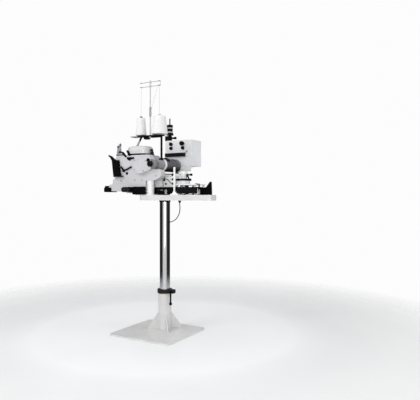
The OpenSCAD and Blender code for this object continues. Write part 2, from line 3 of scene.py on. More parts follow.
import bmesh
import bpy
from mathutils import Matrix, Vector


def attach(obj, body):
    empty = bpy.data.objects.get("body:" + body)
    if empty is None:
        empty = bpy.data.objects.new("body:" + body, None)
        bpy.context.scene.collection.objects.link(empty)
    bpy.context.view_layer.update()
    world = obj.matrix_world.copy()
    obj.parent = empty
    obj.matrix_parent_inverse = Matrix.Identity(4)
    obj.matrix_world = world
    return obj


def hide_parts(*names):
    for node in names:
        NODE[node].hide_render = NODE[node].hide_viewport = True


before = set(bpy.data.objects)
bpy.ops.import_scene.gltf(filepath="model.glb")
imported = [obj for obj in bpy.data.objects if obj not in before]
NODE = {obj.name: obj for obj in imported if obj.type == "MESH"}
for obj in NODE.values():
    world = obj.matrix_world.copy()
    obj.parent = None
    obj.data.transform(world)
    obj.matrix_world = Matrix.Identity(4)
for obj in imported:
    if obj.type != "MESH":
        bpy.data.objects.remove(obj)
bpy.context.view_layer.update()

scene = bpy.context.scene
MM = 0.001
ZT = 1170.0  # top of the table, in millimetres like every length below
TAU = 2 * math.pi


# ---------------------------------------------------------------- camera
cam_data = bpy.data.cameras.new("photo_camera")
cam = bpy.data.objects.new("photo_camera", cam_data)
scene.collection.objects.link(cam)
cam.location = (2.5148, -3.5710, 1.162)
cam.rotation_euler = (math.pi / 2, 0.0, math.radians(30.0))
cam_data.sensor_fit = "HORIZONTAL"
cam_data.sensor_width = 36.0
cam_data.lens = 36.0 * 500.0 / 420.0
cam_data.shift_y = -4.0 / 420.0
cam_data.clip_start = 0.05
cam_data.clip_end = 200.0
scene.camera = cam


# ---------------------------------------------------------------- materials
class Mat:
    """A node material on the Principled shader, in rest coordinates of the part."""

    def __init__(self, name, rough=0.5, metal=0.0, **sockets):
        self.m = bpy.data.materials.new(name)
        self.m.use_nodes = True
        self.t = self.m.node_tree
        self.t.nodes.clear()
        out = self.node("ShaderNodeOutputMaterial")
        self.b = self.node("ShaderNodeBsdfPrincipled")
        self.link(self.b.outputs["BSDF"], out.inputs["Surface"])
        self.b.inputs["Roughness"].default_value = rough
        self.b.inputs["Metallic"].default_value = metal
        for key, value in sockets.items():
            self.b.inputs[key.replace("_", " ")].default_value = value
        self.co = self.node("ShaderNodeTexCoord").outputs["Object"]
        self.geo = None

    def node(self, kind):
        return self.t.nodes.new(kind)

    def link(self, a, b):
        self.t.links.new(a, b)

    def put(self, socket, value):
        if hasattr(value, "is_linked") or hasattr(value, "links"):
            self.link(value, socket)
        else:
            socket.default_value = value

    def stretch(self, x, y, z, turn=(0, 0, 0)):
        n = self.node("ShaderNodeMapping")
        n.inputs["Scale"].default_value = (x, y, z)
        n.inputs["Rotation"].default_value = turn
        self.link(self.co, n.inputs["Vector"])
        return n.outputs["Vector"]

    def noise(self, scale, detail=3.0, rough=0.5, bend=0.0, vec=None):
        n = self.node("ShaderNodeTexNoise")
        n.inputs["Scale"].default_value = scale
        n.inputs["Detail"].default_value = detail
        n.inputs["Roughness"].default_value = rough
        n.inputs["Distortion"].default_value = bend
        self.link(vec or self.co, n.inputs["Vector"])
        return n.outputs["Fac"]

    def cells(self, scale, soft=0.6, vec=None):
        n = self.node("ShaderNodeTexVoronoi")
        n.feature = "SMOOTH_F1"
        n.inputs["Scale"].default_value = scale
        n.inputs["Smoothness"].default_value = soft
        self.link(vec or self.co, n.inputs["Vector"])
        return n.outputs["Distance"]

    def wave(self, scale, axis="Z", bend=0.0, vec=None):
        n = self.node("ShaderNodeTexWave")
        n.wave_type = "BANDS"
        n.bands_direction = axis
        n.wave_profile = "SIN"
        n.inputs["Scale"].default_value = scale
        n.inputs["Distortion"].default_value = bend
        n.inputs["Detail"].default_value = 1.0
        self.link(vec or self.co, n.inputs["Vector"])
        return n.outputs["Fac"]

    def span(self, fac, a, b, lo, hi):
        n = self.node("ShaderNodeMapRange")
        n.clamp = True
        self.link(fac, n.inputs["Value"])
        for key, value in (("From Min", a), ("From Max", b), ("To Min", lo), ("To Max", hi)):
            n.inputs[key].default_value = value
        return n.outputs["Result"]

    def calc(self, op, a, b=0.0):
        n = self.node("ShaderNodeMath")
        n.operation = op
        self.put(n.inputs[0], a)
        self.put(n.inputs[1], b)
        return n.outputs[0]

    def mix(self, fac, a, b):
        n = self.node("ShaderNodeMix")
        n.data_type = "RGBA"
        self.put(n.inputs[0], fac)
        for socket, value in ((n.inputs[6], a), (n.inputs[7], b)):
            if isinstance(value, tuple):
                socket.default_value = (*value, 1.0)
            else:
                self.link(value, socket)
        return n.outputs[2]

    def axis(self, which):
        n = self.node("ShaderNodeSeparateXYZ")
        self.link(self.co, n.inputs[0])
        return n.outputs[which]

    def facing(self, which):
        g = self.node("ShaderNodeNewGeometry")
        n = self.node("ShaderNodeSeparateXYZ")
        self.link(g.outputs["Normal"], n.inputs[0])
        return n.outputs[which]

    def upward(self):
        return self.facing(2)

    def colour(self, value):
        self.link(value, self.b.inputs["Base Color"])

    def rough(self, value):
        self.link(value, self.b.inputs["Roughness"])

    def metal(self, value):
        self.link(value, self.b.inputs["Metallic"])

    def bump(self, height, strength, depth, under=None):
        n = self.node("ShaderNodeBump")
        n.inputs["Strength"].default_value = strength
        n.inputs["Distance"].default_value = depth
        self.link(height, n.inputs["Height"])
        if under is not None:
            self.link(under, n.inputs["Normal"])
        self.link(n.outputs["Normal"], self.b.inputs["Normal"])
        return n.outputs["Normal"]


def tint(c, k):
    return tuple(max(0.0, min(1.0, x * k)) for x in c)


def paint(name, base, rough, peel=0.10, dust=0.10, chip=None, dark=0.86):
    """Sprayed enamel: orange peel, uneven gloss, a little dust on what faces up and worn spots."""
    m = Mat(name, rough)
    broad = m.noise(5.0, 4.0, 0.6)
    fine = m.noise(70.0, 4.0, 0.65)
    body = m.mix(m.span(broad, 0.30, 0.72, 0.0, 1.0), tint(base, dark), base)
    body = m.mix(m.span(fine, 0.45, 0.75, 0.0, 0.20), body, tint(base, dark * 0.9))
    if dust:
        lie = m.calc("MULTIPLY", m.span(m.upward(), 0.55, 0.98, 0.0, dust), m.span(m.noise(24.0, 5.0, 0.7), 0.35, 0.7, 0.2, 1.0))
        body = m.mix(lie, body, (0.50, 0.47, 0.42))
    if chip:
        spots = m.span(m.noise(55.0, 6.0, 0.75, 0.4), 0.70, 0.745, 0.0, 1.0)
        body = m.mix(spots, body, chip)
    m.colour(body)
    m.rough(m.span(m.noise(26.0, 4.0, 0.6), 0.3, 0.75, rough - 0.07, rough + 0.10))
    m.bump(m.noise(620.0, 2.0, 0.5), peel, 0.0004)
    return m.m


def hammered(name, base, rough):
    """Textured machine paint on a sand casting: round dimples under a soft sheen."""
    m = Mat(name, rough, Specular_IOR_Level=0.55)
    broad = m.noise(4.0, 4.0, 0.6)
    dimples = m.cells(210.0, 0.9)
    body = m.mix(m.span(broad, 0.3, 0.72, 0.0, 1.0), tint(base, 0.84), base)
    body = m.mix(m.span(dimples, 0.2, 0.75, 0.0, 0.30), body, tint(base, 0.78))
    grime = m.calc("MULTIPLY", m.span(m.noise(11.0, 6.0, 0.7, 0.3), 0.55, 0.8, 0.0, 0.35), 1.0)
    body = m.mix(grime, body, tint(base, 0.66))
    m.colour(body)
    m.rough(m.span(m.noise(30.0, 4.0, 0.6), 0.3, 0.75, rough - 0.06, rough + 0.14))
    n = m.bump(dimples, 0.22, 0.0012)
    m.bump(m.noise(38.0, 4.0, 0.55), 0.10, 0.0030, n)
    return m.m


def alloy(name, base, rough, metal=1.0, lines=(1, 60, 1), depth=0.06):
    """Machined or drawn metal with fine tool lines and finger-dull patches."""
    m = Mat(name, rough, metal)
    grain = m.noise(26.0, 5.0, 0.6, 0.0, m.stretch(*lines))
    broad = m.noise(13.0, 4.0, 0.65)
    m.colour(m.mix(m.span(grain, 0.35, 0.7, 0.0, 1.0), tint(base, 0.80), base))
    m.rough(m.calc("ADD", m.span(grain, 0.3, 0.75, rough - 0.05, rough + 0.07), m.span(broad, 0.42, 0.75, 0.0, 0.13)))
    m.bump(grain, depth, 0.0004)
    return m.m


def plastic(name, base, rough, grain=900.0, depth=0.10):
    m = Mat(name, rough)
    broad = m.noise(32.0, 4.0, 0.6)
    m.colour(m.mix(m.span(broad, 0.35, 0.72, 0.0, 1.0), tint(base, 0.75), tint(base, 1.35)))
    m.rough(m.span(m.noise(55.0, 5.0, 0.65), 0.3, 0.75, rough - 0.08, rough + 0.12))
    m.bump(m.cells(grain, 0.7), depth, 0.0003)
    return m.m


def chrome_plate(name):
    """Hard chrome on a lift column: near mirror, with faint wiped streaks and a dry oil film."""
    m = Mat(name, 0.08, 1.0)
    streak = m.noise(9.0, 5.0, 0.65, 0.0, m.stretch(22.0, 22.0, 0.9))
    film = m.noise(7.0, 5.0, 0.7, 0.6)
    m.colour(m.mix(m.span(streak, 0.42, 0.72, 0.0, 0.55), (0.64, 0.64, 0.65), (0.52, 0.53, 0.55)))
    m.rough(m.calc("ADD", m.span(streak, 0.4, 0.75, 0.05, 0.12), m.span(film, 0.50, 0.78, 0.0, 0.09)))
    m.bump(streak, 0.015, 0.0003)
    return m.m


def yarn_mat(name, shade=1.0):
    """Spun polyester: fine twist lines laid two ways, soft sheen."""
    m = Mat(name, 0.82, 0.0, Sheen_Weight=0.25 * shade, Sheen_Roughness=0.5)
    lay_a = m.wave(420.0, "Z", 1.2, m.stretch(1, 1, 1, (0.16, 0.10, 0)))
    lay_b = m.wave(420.0, "Z", 1.2, m.stretch(1, 1, 1, (-0.16, -0.10, 0)))
    lay = m.calc("MAXIMUM", lay_a, lay_b)
    fuzz = m.noise(480.0, 4.0, 0.7)
    broad = m.noise(16.0, 4.0, 0.6)
    body = m.mix(m.span(lay, 0.15, 0.9, 0.0, 1.0), tint((0.78, 0.775, 0.765), shade), tint((0.93, 0.925, 0.92), shade))
    body = m.mix(m.span(broad, 0.35, 0.7, 0.0, 0.25), body, tint((0.84, 0.835, 0.83), shade))
    m.colour(body)
    m.rough(m.span(fuzz, 0.3, 0.7, 0.74, 0.92))
    n = m.bump(lay, 0.35, 0.0008)
    m.bump(fuzz, 0.20, 0.0005, n)
    return m.m


def rubber(name, base, rough, grain=520.0):
    m = Mat(name, rough)
    broad = m.noise(18.0, 5.0, 0.7)
    scuff = m.noise(60.0, 6.0, 0.75, 0.5)
    body = m.mix(m.span(broad, 0.35, 0.72, 0.0, 1.0), tint(base, 0.7), tint(base, 1.3))
    body = m.mix(m.span(scuff, 0.62, 0.82, 0.0, 0.30), body, tint(base, 6.0))
    m.colour(body)
    m.rough(m.span(scuff, 0.3, 0.8, rough - 0.06, rough + 0.14))
    m.bump(m.cells(grain, 0.5), 0.16, 0.0005)
    return m.m


def masked(name, base, dark, rule, rough_base, rough_dark):
    """Two finishes on one casting, parted where the rule says: rule gives 1 on the dark part. On the motor the rule
    paints shade on the lower half, and on the bracket it paints a highlight on the sideways rims.
    """
    m = Mat(name, rough_base)
    part = rule(m)
    m.link(m.span(part, 0.0, 1.0, 0.40, 0.10), m.b.inputs["Specular IOR Level"])
    broad = m.noise(6.0, 4.0, 0.6)
    light = m.mix(m.span(broad, 0.3, 0.72, 0.0, 1.0), tint(base, 0.88), base)
    deep = m.mix(m.span(m.noise(34.0, 4.0, 0.6), 0.35, 0.72, 0.0, 1.0), tint(dark, 0.75), tint(dark, 1.3))
    m.colour(m.mix(part, light, deep))
    gloss = m.span(m.noise(26.0, 4.0, 0.6), 0.3, 0.75, rough_base - 0.06, rough_base + 0.10)
    matte = m.span(m.noise(50.0, 4.0, 0.6), 0.3, 0.75, rough_dark - 0.06, rough_dark + 0.10)
    n = m.node("ShaderNodeMix")
    n.data_type = "FLOAT"
    m.link(part, n.inputs[0])
    m.link(gloss, n.inputs[2])
    m.link(matte, n.inputs[3])
    m.rough(n.outputs[0])
    m.bump(m.noise(620.0, 2.0, 0.5), 0.10, 0.0004)
    return m.m


WHITE = paint("white_enamel", (0.70, 0.70, 0.69), 0.34)
CAST = hammered("grey_hammer_paint", (0.60, 0.595, 0.61), 0.40)
COVER = paint("cover_enamel", (0.60, 0.595, 0.59), 0.36, 0.12, 0.08)
# the drive housing's enamel, lighter than the white enamel elsewhere to offset the shade under the motor: painted light
HOUSE = paint("housing_enamel_painted_light", (0.90, 0.90, 0.895), 0.42, 0.14)
PALE = paint("pale_enamel", (0.86, 0.862, 0.875), 0.40, 0.14)
DARK = paint("dark_enamel", (0.022, 0.022, 0.025), 0.46, 0.14, 0.05, (0.09, 0.09, 0.09), 0.8)
BLACK = paint("black_enamel", (0.0028, 0.0028, 0.003), 0.55, 0.14, 0.006, (0.02, 0.02, 0.02), 0.8)
for dull in (DARK, BLACK):
    dull.node_tree.nodes["Principled BSDF"].inputs["Specular IOR Level"].default_value = 0.045
ALLOY = alloy("dark_alloy", (0.125, 0.13, 0.14), 0.44, 0.45, (1, 14, 1), 0.10)
DISC = alloy("turned_alloy", (0.30, 0.30, 0.315), 0.40, 0.55, (1, 30, 1), 0.08)
# near-white, barely metallic alloy for the motor's front ring: its light tone also paints the highlight on the rim
BRIGHT = alloy("bright_alloy_painted_highlight", (0.92, 0.92, 0.92), 0.34, 0.30, (30, 1, 30), 0.08)
STEEL = alloy("machined_steel", (0.62, 0.63, 0.64), 0.27, 1.0, (1, 40, 1), 0.06)
ROD = alloy("drawn_rod", (0.50, 0.50, 0.51), 0.38, 0.6, (1, 1, 0.4), 0.05)
BRONZE = alloy("bronze",(0.62, 0.42, 0.17), 0.33, 1.0, (1, 1, 60), 0.06)
CHROME = chrome_plate("hard_chrome")
PLASTIC = plastic("black_plastic", (0.004, 0.004, 0.0045), 0.46)
RUBBER = rubber("belt_rubber", (0.005, 0.005, 0.0055), 0.66)
for dull in (PLASTIC, RUBBER):
    dull.node_tree.nodes["Principled BSDF"].inputs["Specular IOR Level"].default_value = 0.09
JACKET = rubber("cable_jacket", (0.020, 0.020, 0.022), 0.50, 760.0)
YARN = yarn_mat("wound_yarn", 0.87)
# the running thread: the same white yarn darkened to grey, a painted shade
SINGLE = yarn_mat("running_thread_painted_shade", 0.16)


# ---------------------------------------------------------------- cords
def smooth_line(pts, steps=5):
    """A Catmull-Rom line through the points, in metres."""
    p = [Vector(q) * MM for q in pts]
    p = [p[0] * 2 - p[1]] + p + [p[-1] * 2 - p[-2]]
    line = []
    for i in range(1, len(p) - 2):
        a, b, c, d = p[i - 1 : i + 3]
        for k in range(steps):
            t = k / steps
            line.append(0.5 * ((2 * b) + (c - a) * t + (2 * a - 5 * b + 4 * c - d) * t * t + (3 * b - a - 3 * c + d) * t ** 3))
    line.append(p[-2])
    return line


def cord_piece(name, node, pts, radius, mat):
    line = smooth_line(pts)
    cu = bpy.data.curves.new(name, "CURVE")
    cu.dimensions = "3D"
    cu.bevel_depth = radius * MM
    cu.bevel_resolution = 4
    cu.use_fill_caps = True
    sp = cu.splines.new("POLY")
    sp.points.add(len(line) - 1)
    for q, v in zip(sp.points, line):
        q.co = (*v, 1.0)
    sp.use_smooth = True
    ob = bpy.data.objects.new(name, cu)
    scene.collection.objects.link(ob)
    cu.materials.append(mat)
    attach(ob, "lift")
    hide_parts(node)
    return ob


ZB = 1128.0
CABLE = [(154, 0, ZB - 24), (154, 0, ZB - 30), (154.4, 0, ZB - 40), (156, 0, ZB - 54), (156.5, 0, ZB - 70),
         (155, 0, ZB - 90), (151, 0, ZB - 109), (144, 0, ZB - 127), (134, 0, ZB - 144), (121, 0, ZB - 159),
         (106, 0, ZB - 171), (90, 0, ZB - 180), (74, 0, ZB - 186), (64, 0, ZB - 189), (57, 0, ZB - 190), (52, 0, ZB - 190)]
THREAD_A = [(-26 + 15.8 * (1 - i / 16) + 2 * i / 16, -300 - 21.9 * (1 - i / 16), ZT + 631.9 + i * 249.1 / 16) for i in range(17)]
THREAD_B = [(184.9, -337.3, ZT + 635), (178.2, -328.1, ZT + 691.3), (171.5, -318.9, ZT + 747.5), (164.7, -309.7, ZT + 803.8),
            (158, -300.5, ZT + 860), (158, -301, ZT + 876), (157.6, -302, ZT + 882), (156.2, -303.4, ZT + 886),
            (153.8, -305.4, ZT + 887.4), (150.8, -307.2, ZT + 886), (148.6, -308.2, ZT + 881), (146.8, -308.5, ZT + 874),
            (130, -308.5, ZT + 824), (110, -308.5, ZT + 768), (90, -308.5, ZT + 711), (77, -308.5, ZT + 674)]
cord_piece("lift_cable", "cable", CABLE, 3.75, JACKET)
cord_piece("needle_thread", "thread_a", THREAD_A, 0.6, SINGLE)
cord_piece("looper_thread", "thread_b", THREAD_B, 0.6, SINGLE)


# ---------------------------------------------------------------- mesh tools
def axes(axis):
    w = Vector(axis).normalized()
    ref = Vector((0, 0, 1)) if abs(w.z) < 0.9 else Vector((1, 0, 0))
    u = ref.cross(w).normalized()
    return u, w.cross(u), w


def lathe(bm, prof, org, axis=(0, 0, 1), seg=48, ring=False, wob=None):
    """Turns [(radius, height)] about an axis. A ring's profile closes on itself; any other is capped."""
    u, v, w = axes(axis)
    org = Vector(org)
    rows = []
    for r, h in prof:
        if r < 1e-6:
            rows.append([bm.verts.new(org + w * h)])
            continue
        row = []
        for k in range(seg):
            a = TAU * k / seg
            rr = wob(a, r, h) if wob else r
            row.append(bm.verts.new(org + w * h + (u * math.cos(a) + v * math.sin(a)) * rr))
        rows.append(row)
    pairs = list(zip(rows, rows[1:])) + ([(rows[-1], rows[0])] if ring else [])
    for a, b in pairs:
        for k in range(seg):
            j = (k + 1) % seg
            if len(a) == 1 and len(b) > 1:
                bm.faces.new((a[0], b[j], b[k]))
            elif len(b) == 1 and len(a) > 1:
                bm.faces.new((a[k], a[j], b[0]))
            elif len(a) > 1:
                bm.faces.new((a[k], a[j], b[j], b[k]))
    if not ring:
        if len(rows[0]) > 1:
            bm.faces.new(list(reversed(rows[0])))
        if len(rows[-1]) > 1:
            bm.faces.new(rows[-1])


def tube(bm, pts, r, seg=10, closed=False):
    p = [Vector(q) for q in pts]
    n = len(p)
    rows, side = [], None
    for i in range(n):
        a = p[(i - 1) % n] if closed or i > 0 else p[i]
        b = p[(i + 1) % n] if closed or i < n - 1 else p[i]
        t = (b - a).normalized()
        if side is None:
            side = t.orthogonal().normalized()
        side = (side - t * side.dot(t)).normalized()
        up = t.cross(side)
        rr = r[i] if isinstance(r, (list, tuple)) else r
        rows.append([bm.verts.new(p[i] + (side * math.cos(TAU * k / seg) + up * math.sin(TAU * k / seg)) * rr) for k in range(seg)])
    for i in range(n if closed else n - 1):
        a, b = rows[i], rows[(i + 1) % n]
        for k in range(seg):
            j = (k + 1) % seg
            bm.faces.new((a[k], a[j], b[j], b[k]))
    if not closed:
        bm.faces.new(list(reversed(rows[0])))
        bm.faces.new(rows[-1])


def extrude(bm, poly, axis, a, b, bev=0.0, seg=2):
    """A flat outline drawn along x, y or z from a to b, with rounded edges."""
    def at(p, q, t):
        return {"x": (t, p, q), "y": (p, t, q), "z": (p, q, t)}[axis]
    lo = [bm.verts.new(at(p, q, a)) for p, q in poly]
    hi = [bm.verts.new(at(p, q, b)) for p, q in poly]
    n = len(poly)
    faces = [bm.faces.new(list(reversed(lo))), bm.faces.new(hi)]
    for k in range(n):
        faces.append(bm.faces.new((lo[k], lo[(k + 1) % n], hi[(k + 1) % n], hi[k])))
    if bev:
        edges = list({e for f in faces for e in f.edges})
        bmesh.ops.bevel(bm, geom=edges, offset=bev, segments=seg, profile=0.5, affect="EDGES", clamp_overlap=True)


def block(bm, x0, x1, y0, y1, z0, z1, bev=1.0, seg=2):
    extrude(bm, [(x0, y0), (x1, y0), (x1, y1), (x0, y1)], "z", z0, z1, bev, seg)


def loft(bm, rows, cap=True):
    made = [[bm.verts.new(p) for p in row] for row in rows]
    n = len(made[0])
    for a, b in zip(made, made[1:]):
        for k in range(n):
            j = (k + 1) % n
            bm.faces.new((a[k], a[j], b[j], b[k]))
    if cap:
        bm.faces.new(list(reversed(made[0])))
        bm.faces.new(made[-1])


def cap_screw(bm, pos, axis, r, h, socket=0.55):
    """A socket head screw, its hexagon hole open at the top."""
    u, v, w = axes(axis)
    o = Vector(pos)
    seg = 24

    def circle(rad, d):
        return [bm.verts.new(o + w * d + (u * math.cos(TAU * k / seg) + v * math.sin(TAU * k / seg)) * rad) for k in range(seg)]

    def hexa(rad, d):
        row = []
        for k in range(seg):
            a = TAU * k / seg
            c = math.cos(math.pi / 6) / math.cos((a % (TAU / 6)) - math.pi / 6)
            row.append(bm.verts.new(o + w * d + (u * math.cos(a) + v * math.sin(a)) * rad * c))
        return row

    e = min(0.7, 0.14 * r)
    rows = [circle(r, 0), circle(r, h - e), circle(r - e, h), hexa(socket * r, h), hexa(socket * r, h - 0.55 * h)]
    for a, b in zip(rows, rows[1:]):
        for k in range(seg):
            j = (k + 1) % seg
            bm.faces.new((a[k], a[j], b[j], b[k]))
    bm.faces.new(list(reversed(rows[0])))
    bm.faces.new(rows[-1])


def hex_head(bm, pos, axis, r, h, washer=True):
    """A hexagon bolt head with its corners turned off, on a washer."""
    u, v, w = axes(axis)
    o = Vector(pos)
    if washer:
        t = 1.6
        lathe(bm, [(0, 0), (r * 1.25, 0), (r * 1.25, t - 0.3), (r * 1.22, t), (0, t)], o, axis, 28)
        o = o + w * t
        h = h - t
    seg = 24

    def row(rad, d, six):
        out = []
        for k in range(seg):
            a = TAU * k / seg
            c = math.cos(math.pi / 6) / math.cos((a % (TAU / 6)) - math.pi / 6) if six else 1.0
            out.append(bm.verts.new(o + w * d + (u * math.cos(a) + v * math.sin(a)) * rad * c))
        return out

    rows = [row(r, 0, True), row(r, h * 0.86, True), row(r * 0.84, h, False)]
    for a, b in zip(rows, rows[1:]):
        for k in range(seg):
            j = (k + 1) % seg
            bm.faces.new((a[k], a[j], b[j], b[k]))
    bm.faces.new(list(reversed(rows[0])))
    bm.faces.new(rows[-1])


def done(bm, name, body, mat, replaces=(), angle=34.0):
    """Closes a piece: metres, outward normals, smooth faces with crisp edges, its body and slot."""
    bmesh.ops.recalc_face_normals(bm, faces=bm.faces)
    for v in bm.verts:
        v.co *= MM
    limit = math.radians(angle)
    for e in bm.edges:
        e.smooth = not (len(e.link_faces) == 2 and e.calc_face_angle(0.0) > limit)
    for f in bm.faces:
        f.smooth = True
    me = bpy.data.meshes.new(name)
    bm.to_mesh(me)
    bm.free()
    me.materials.append(mat)
    ob = bpy.data.objects.new(name, me)
    scene.collection.objects.link(ob)
    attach(ob, body)
    if replaces:
        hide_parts(*replaces)
    return ob


def round_rect(x0, x1, y0, y1, r, seg=12):
    out = []
    for cx, cy, a0 in ((x1 - r, y1 - r, 0), (x0 + r, y1 - r, 90), (x0 + r, y0 + r, 180), (x1 - r, y0 + r, 270)):
        for k in range(seg + 1):
            a = math.radians(a0 + 90 * k / seg)
            out.append((cx + r * math.cos(a), cy + r * math.sin(a)))
    return out


# ---------------------------------------------------------------- CAD nodes: finish and edges
def soften(name, width, seg=2, angle=38.0):
    o = NODE[name]
    w = o.modifiers.new("weld", "WELD")
    w.merge_threshold = 1e-5
    if name not in ("control_box", "box_door"):
        d = o.modifiers.new("flats", "DECIMATE")
        d.decimate_type = "DISSOLVE"
        d.angle_limit = math.radians(0.5)
    b = o.modifiers.new("edges", "BEVEL")
    b.width = width * MM
    b.segments = seg
    b.limit_method = "ANGLE"
    b.angle_limit = math.radians(angle)
    b.use_clamp_overlap = True
    n = o.modifiers.new("normals", "WEIGHTED_NORMAL")
    n.keep_sharp = False
    n.weight = 60


FINISH = {
    "base_plate": WHITE, "base_tube": WHITE, "table": WHITE, "front_bar": WHITE, "front_supports": WHITE,
    "head_frame": CAST, "top_cover": COVER, "belt_guard": CAST,
    "motor_bracket": WHITE, "infeed_frame": PALE, "infeed_motor": PALE, "control_box": PALE, "box_mast": PALE, "box_door": PALE,
    "motor_body": ALLOY, "clutch_housing": ALLOY,
    "clamp_collar": DARK, "thread_plate": DARK, "thread_pole": ROD,
    "guide_rails": BLACK, "front_frame": BLACK, "cutter_body": BLACK, "needle_cover": BLACK, "needle_housing": BLACK,
    "presser_lever": BLACK, "clamp_lever": BLACK, "stand_post": BLACK, "head_screws": BLACK,
    "lift_column": CHROME,
    "throat_plate": STEEL, "needle_bar": STEEL, "looper": STEEL, "presser_foot": STEEL, "cutter_knife": STEEL, "main_shaft": STEEL,
    "rear_drive": STEEL, "rear_idler": STEEL, "front_drive": STEEL, "front_idler": STEEL, "thread_guides": STEEL,
    "guide_bush": BRONZE,
    "cable_fittings": PLASTIC, "tension_nut_a": ALLOY, "tension_nut_b": ALLOY, "motor_shaft": PLASTIC, "selector": PLASTIC,
    "button_a": PLASTIC, "button_b": PLASTIC, "stop_button": PLASTIC, "regulator": PLASTIC, "regulator_knob": PLASTIC, "spool_rests": PLASTIC,
    "drive_belt": RUBBER, "rear_belt": RUBBER, "front_belt": RUBBER, "cable": JACKET,
    "small_cone": YARN, "big_cone": YARN, "thread_a": YARN, "thread_b": YARN,
}
for name, mat in FINISH.items():
    slots = NODE[name].data.materials
    slots.clear()
    slots.append(mat)



def above(m, which, mm):
    """1 where a coordinate is above the given millimetres, else 0, with a crisp masked edge."""
    return m.span(m.axis(which), (mm - 0.2) * MM, (mm + 0.2) * MM, 0.0, 1.0)


def below(m, which, mm):
    return m.span(m.axis(which), (mm - 0.2) * MM, (mm + 0.2) * MM, 1.0, 0.0)


def between(m, which, a, b):
    return m.calc("MULTIPLY", above(m, which, a), below(m, which, b))


# the door's bar handle and bezels are black, as are the gearmotor's flange and yoke and the rod's tie;
# the belt guard turns dark where it caps the clutch, the clutch steps out to a turned disc,
# the regulator has two pale bands and the big spool's core is pale
BLACK_TONE = (0.006, 0.006, 0.007)
NODE["box_door"].data.materials[0] = masked(
    "door_enamel", (0.86, 0.862, 0.875), BLACK_TONE, lambda m: m.calc("MULTIPLY", below(m, 1, 5.6), below(m, 0, 255.0)), 0.40, 0.46)
NODE["infeed_motor"].data.materials[0] = masked(
    "gearmotor_enamel", (0.76, 0.76, 0.76), BLACK_TONE,
    lambda m: m.calc("MAXIMUM", between(m, 2, ZT + 110.8, ZT + 126.2), m.calc("MULTIPLY", above(m, 2, ZT + 126.0), above(m, 0, 421.4))), 0.38, 0.46)
NODE["front_supports"].data.materials[0] = masked(
    "support_enamel", (0.84, 0.84, 0.83), BLACK_TONE,
    lambda m: m.calc("MULTIPLY", between(m, 2, ZT + 163.6, ZT + 174.4), between(m, 1, -386.3, -346.0)), 0.34, 0.46)
NODE["belt_guard"].data.materials[0] = masked(
    "guard_enamel", (0.575, 0.57, 0.588), (0.21, 0.212, 0.22), lambda m: above(m, 0, 168.0), 0.42, 0.44)
NODE["clutch_housing"].data.materials[0] = masked(
    "clutch_alloy", (0.31, 0.31, 0.32), (0.17, 0.17, 0.18), lambda m: between(m, 1, -398.0, -372.0), 0.38, 0.44)
# the motor bracket: a lighter copy of the white enamel, brightened to offset the shade under the motor (painted light);
# from ZT+192 up it turns grey, except that above ZT+204 the faces that turn sideways keep the light tone as a painted
# highlight on the rims
NODE["motor_bracket"].data.materials[0] = masked(
    "bracket_enamel_painted_light", (0.92, 0.92, 0.91), (0.31, 0.31, 0.32),
    lambda m: m.calc("MULTIPLY", above(m, 2, ZT + 192.0), m.calc("SUBTRACT", 1.0, m.calc(
        "MULTIPLY", m.span(m.calc("ABSOLUTE", m.facing(1)), 0.45, 0.55, 1.0, 0.0), above(m, 2, ZT + 204.0)))), 0.30, 0.46)
# the motor's cast shell, darker towards the bottom: painted shade on its lower half, darkening from just below the
# shaft down
NODE["motor_body"].data.materials[0] = masked(
    "motor_enamel_painted_shade", (0.150, 0.150, 0.160), (0.008, 0.008, 0.009),
    lambda m: m.span(m.axis(2), (ZT + 206.0) * MM, (ZT + 240.0) * MM, 1.0, 0.0), 0.42, 0.50)
NODE["front_frame"].data.materials[0] = masked(
    "front_frame_enamel", (0.80, 0.80, 0.81), BLACK_TONE, lambda m: below(m, 2, ZT + 73.0), 0.40, 0.46)
NODE["thread_plate"].data.materials[0] = masked(
    "spool_plate_enamel", (0.40, 0.40, 0.41), BLACK_TONE, lambda m: above(m, 0, -37.0), 0.42, 0.46)
NODE["thread_pole"].data.materials[0] = masked(
    "pole_enamel", (0.54, 0.54, 0.55), (0.30, 0.30, 0.31),
    lambda m: m.calc("MAXIMUM", between(m, 2, ZT + 635.0, ZT + 713.0), m.calc("MAXIMUM", below(m, 0, -13.0), above(m, 0, 147.0))), 0.40, 0.44)
for name in ("needle_bar", "presser_foot"):
    NODE[name].data.materials[0] = masked(
        name + "_steel", (0.52, 0.52, 0.53), (0.02, 0.02, 0.022), lambda m: below(m, 1, -399.0), 0.34, 0.40)
KNOB_BANDS = masked(
    "regulator_bands", (0.50, 0.50, 0.50), BLACK_TONE,
    lambda m: m.calc("SUBTRACT", 1.0, m.calc("MAXIMUM", between(m, 2, 1711.0, 1722.0), between(m, 2, 1747.0, 1756.0))), 0.42, 0.46)
NODE["spool_rests"].data.materials[0] = masked(
    "spool_plastic", (0.40, 0.40, 0.42), BLACK_TONE,
    lambda m: m.calc("MULTIPLY", below(m, 0, 70.0), above(m, 2, ZT + 487.0)), 0.45, 0.46)

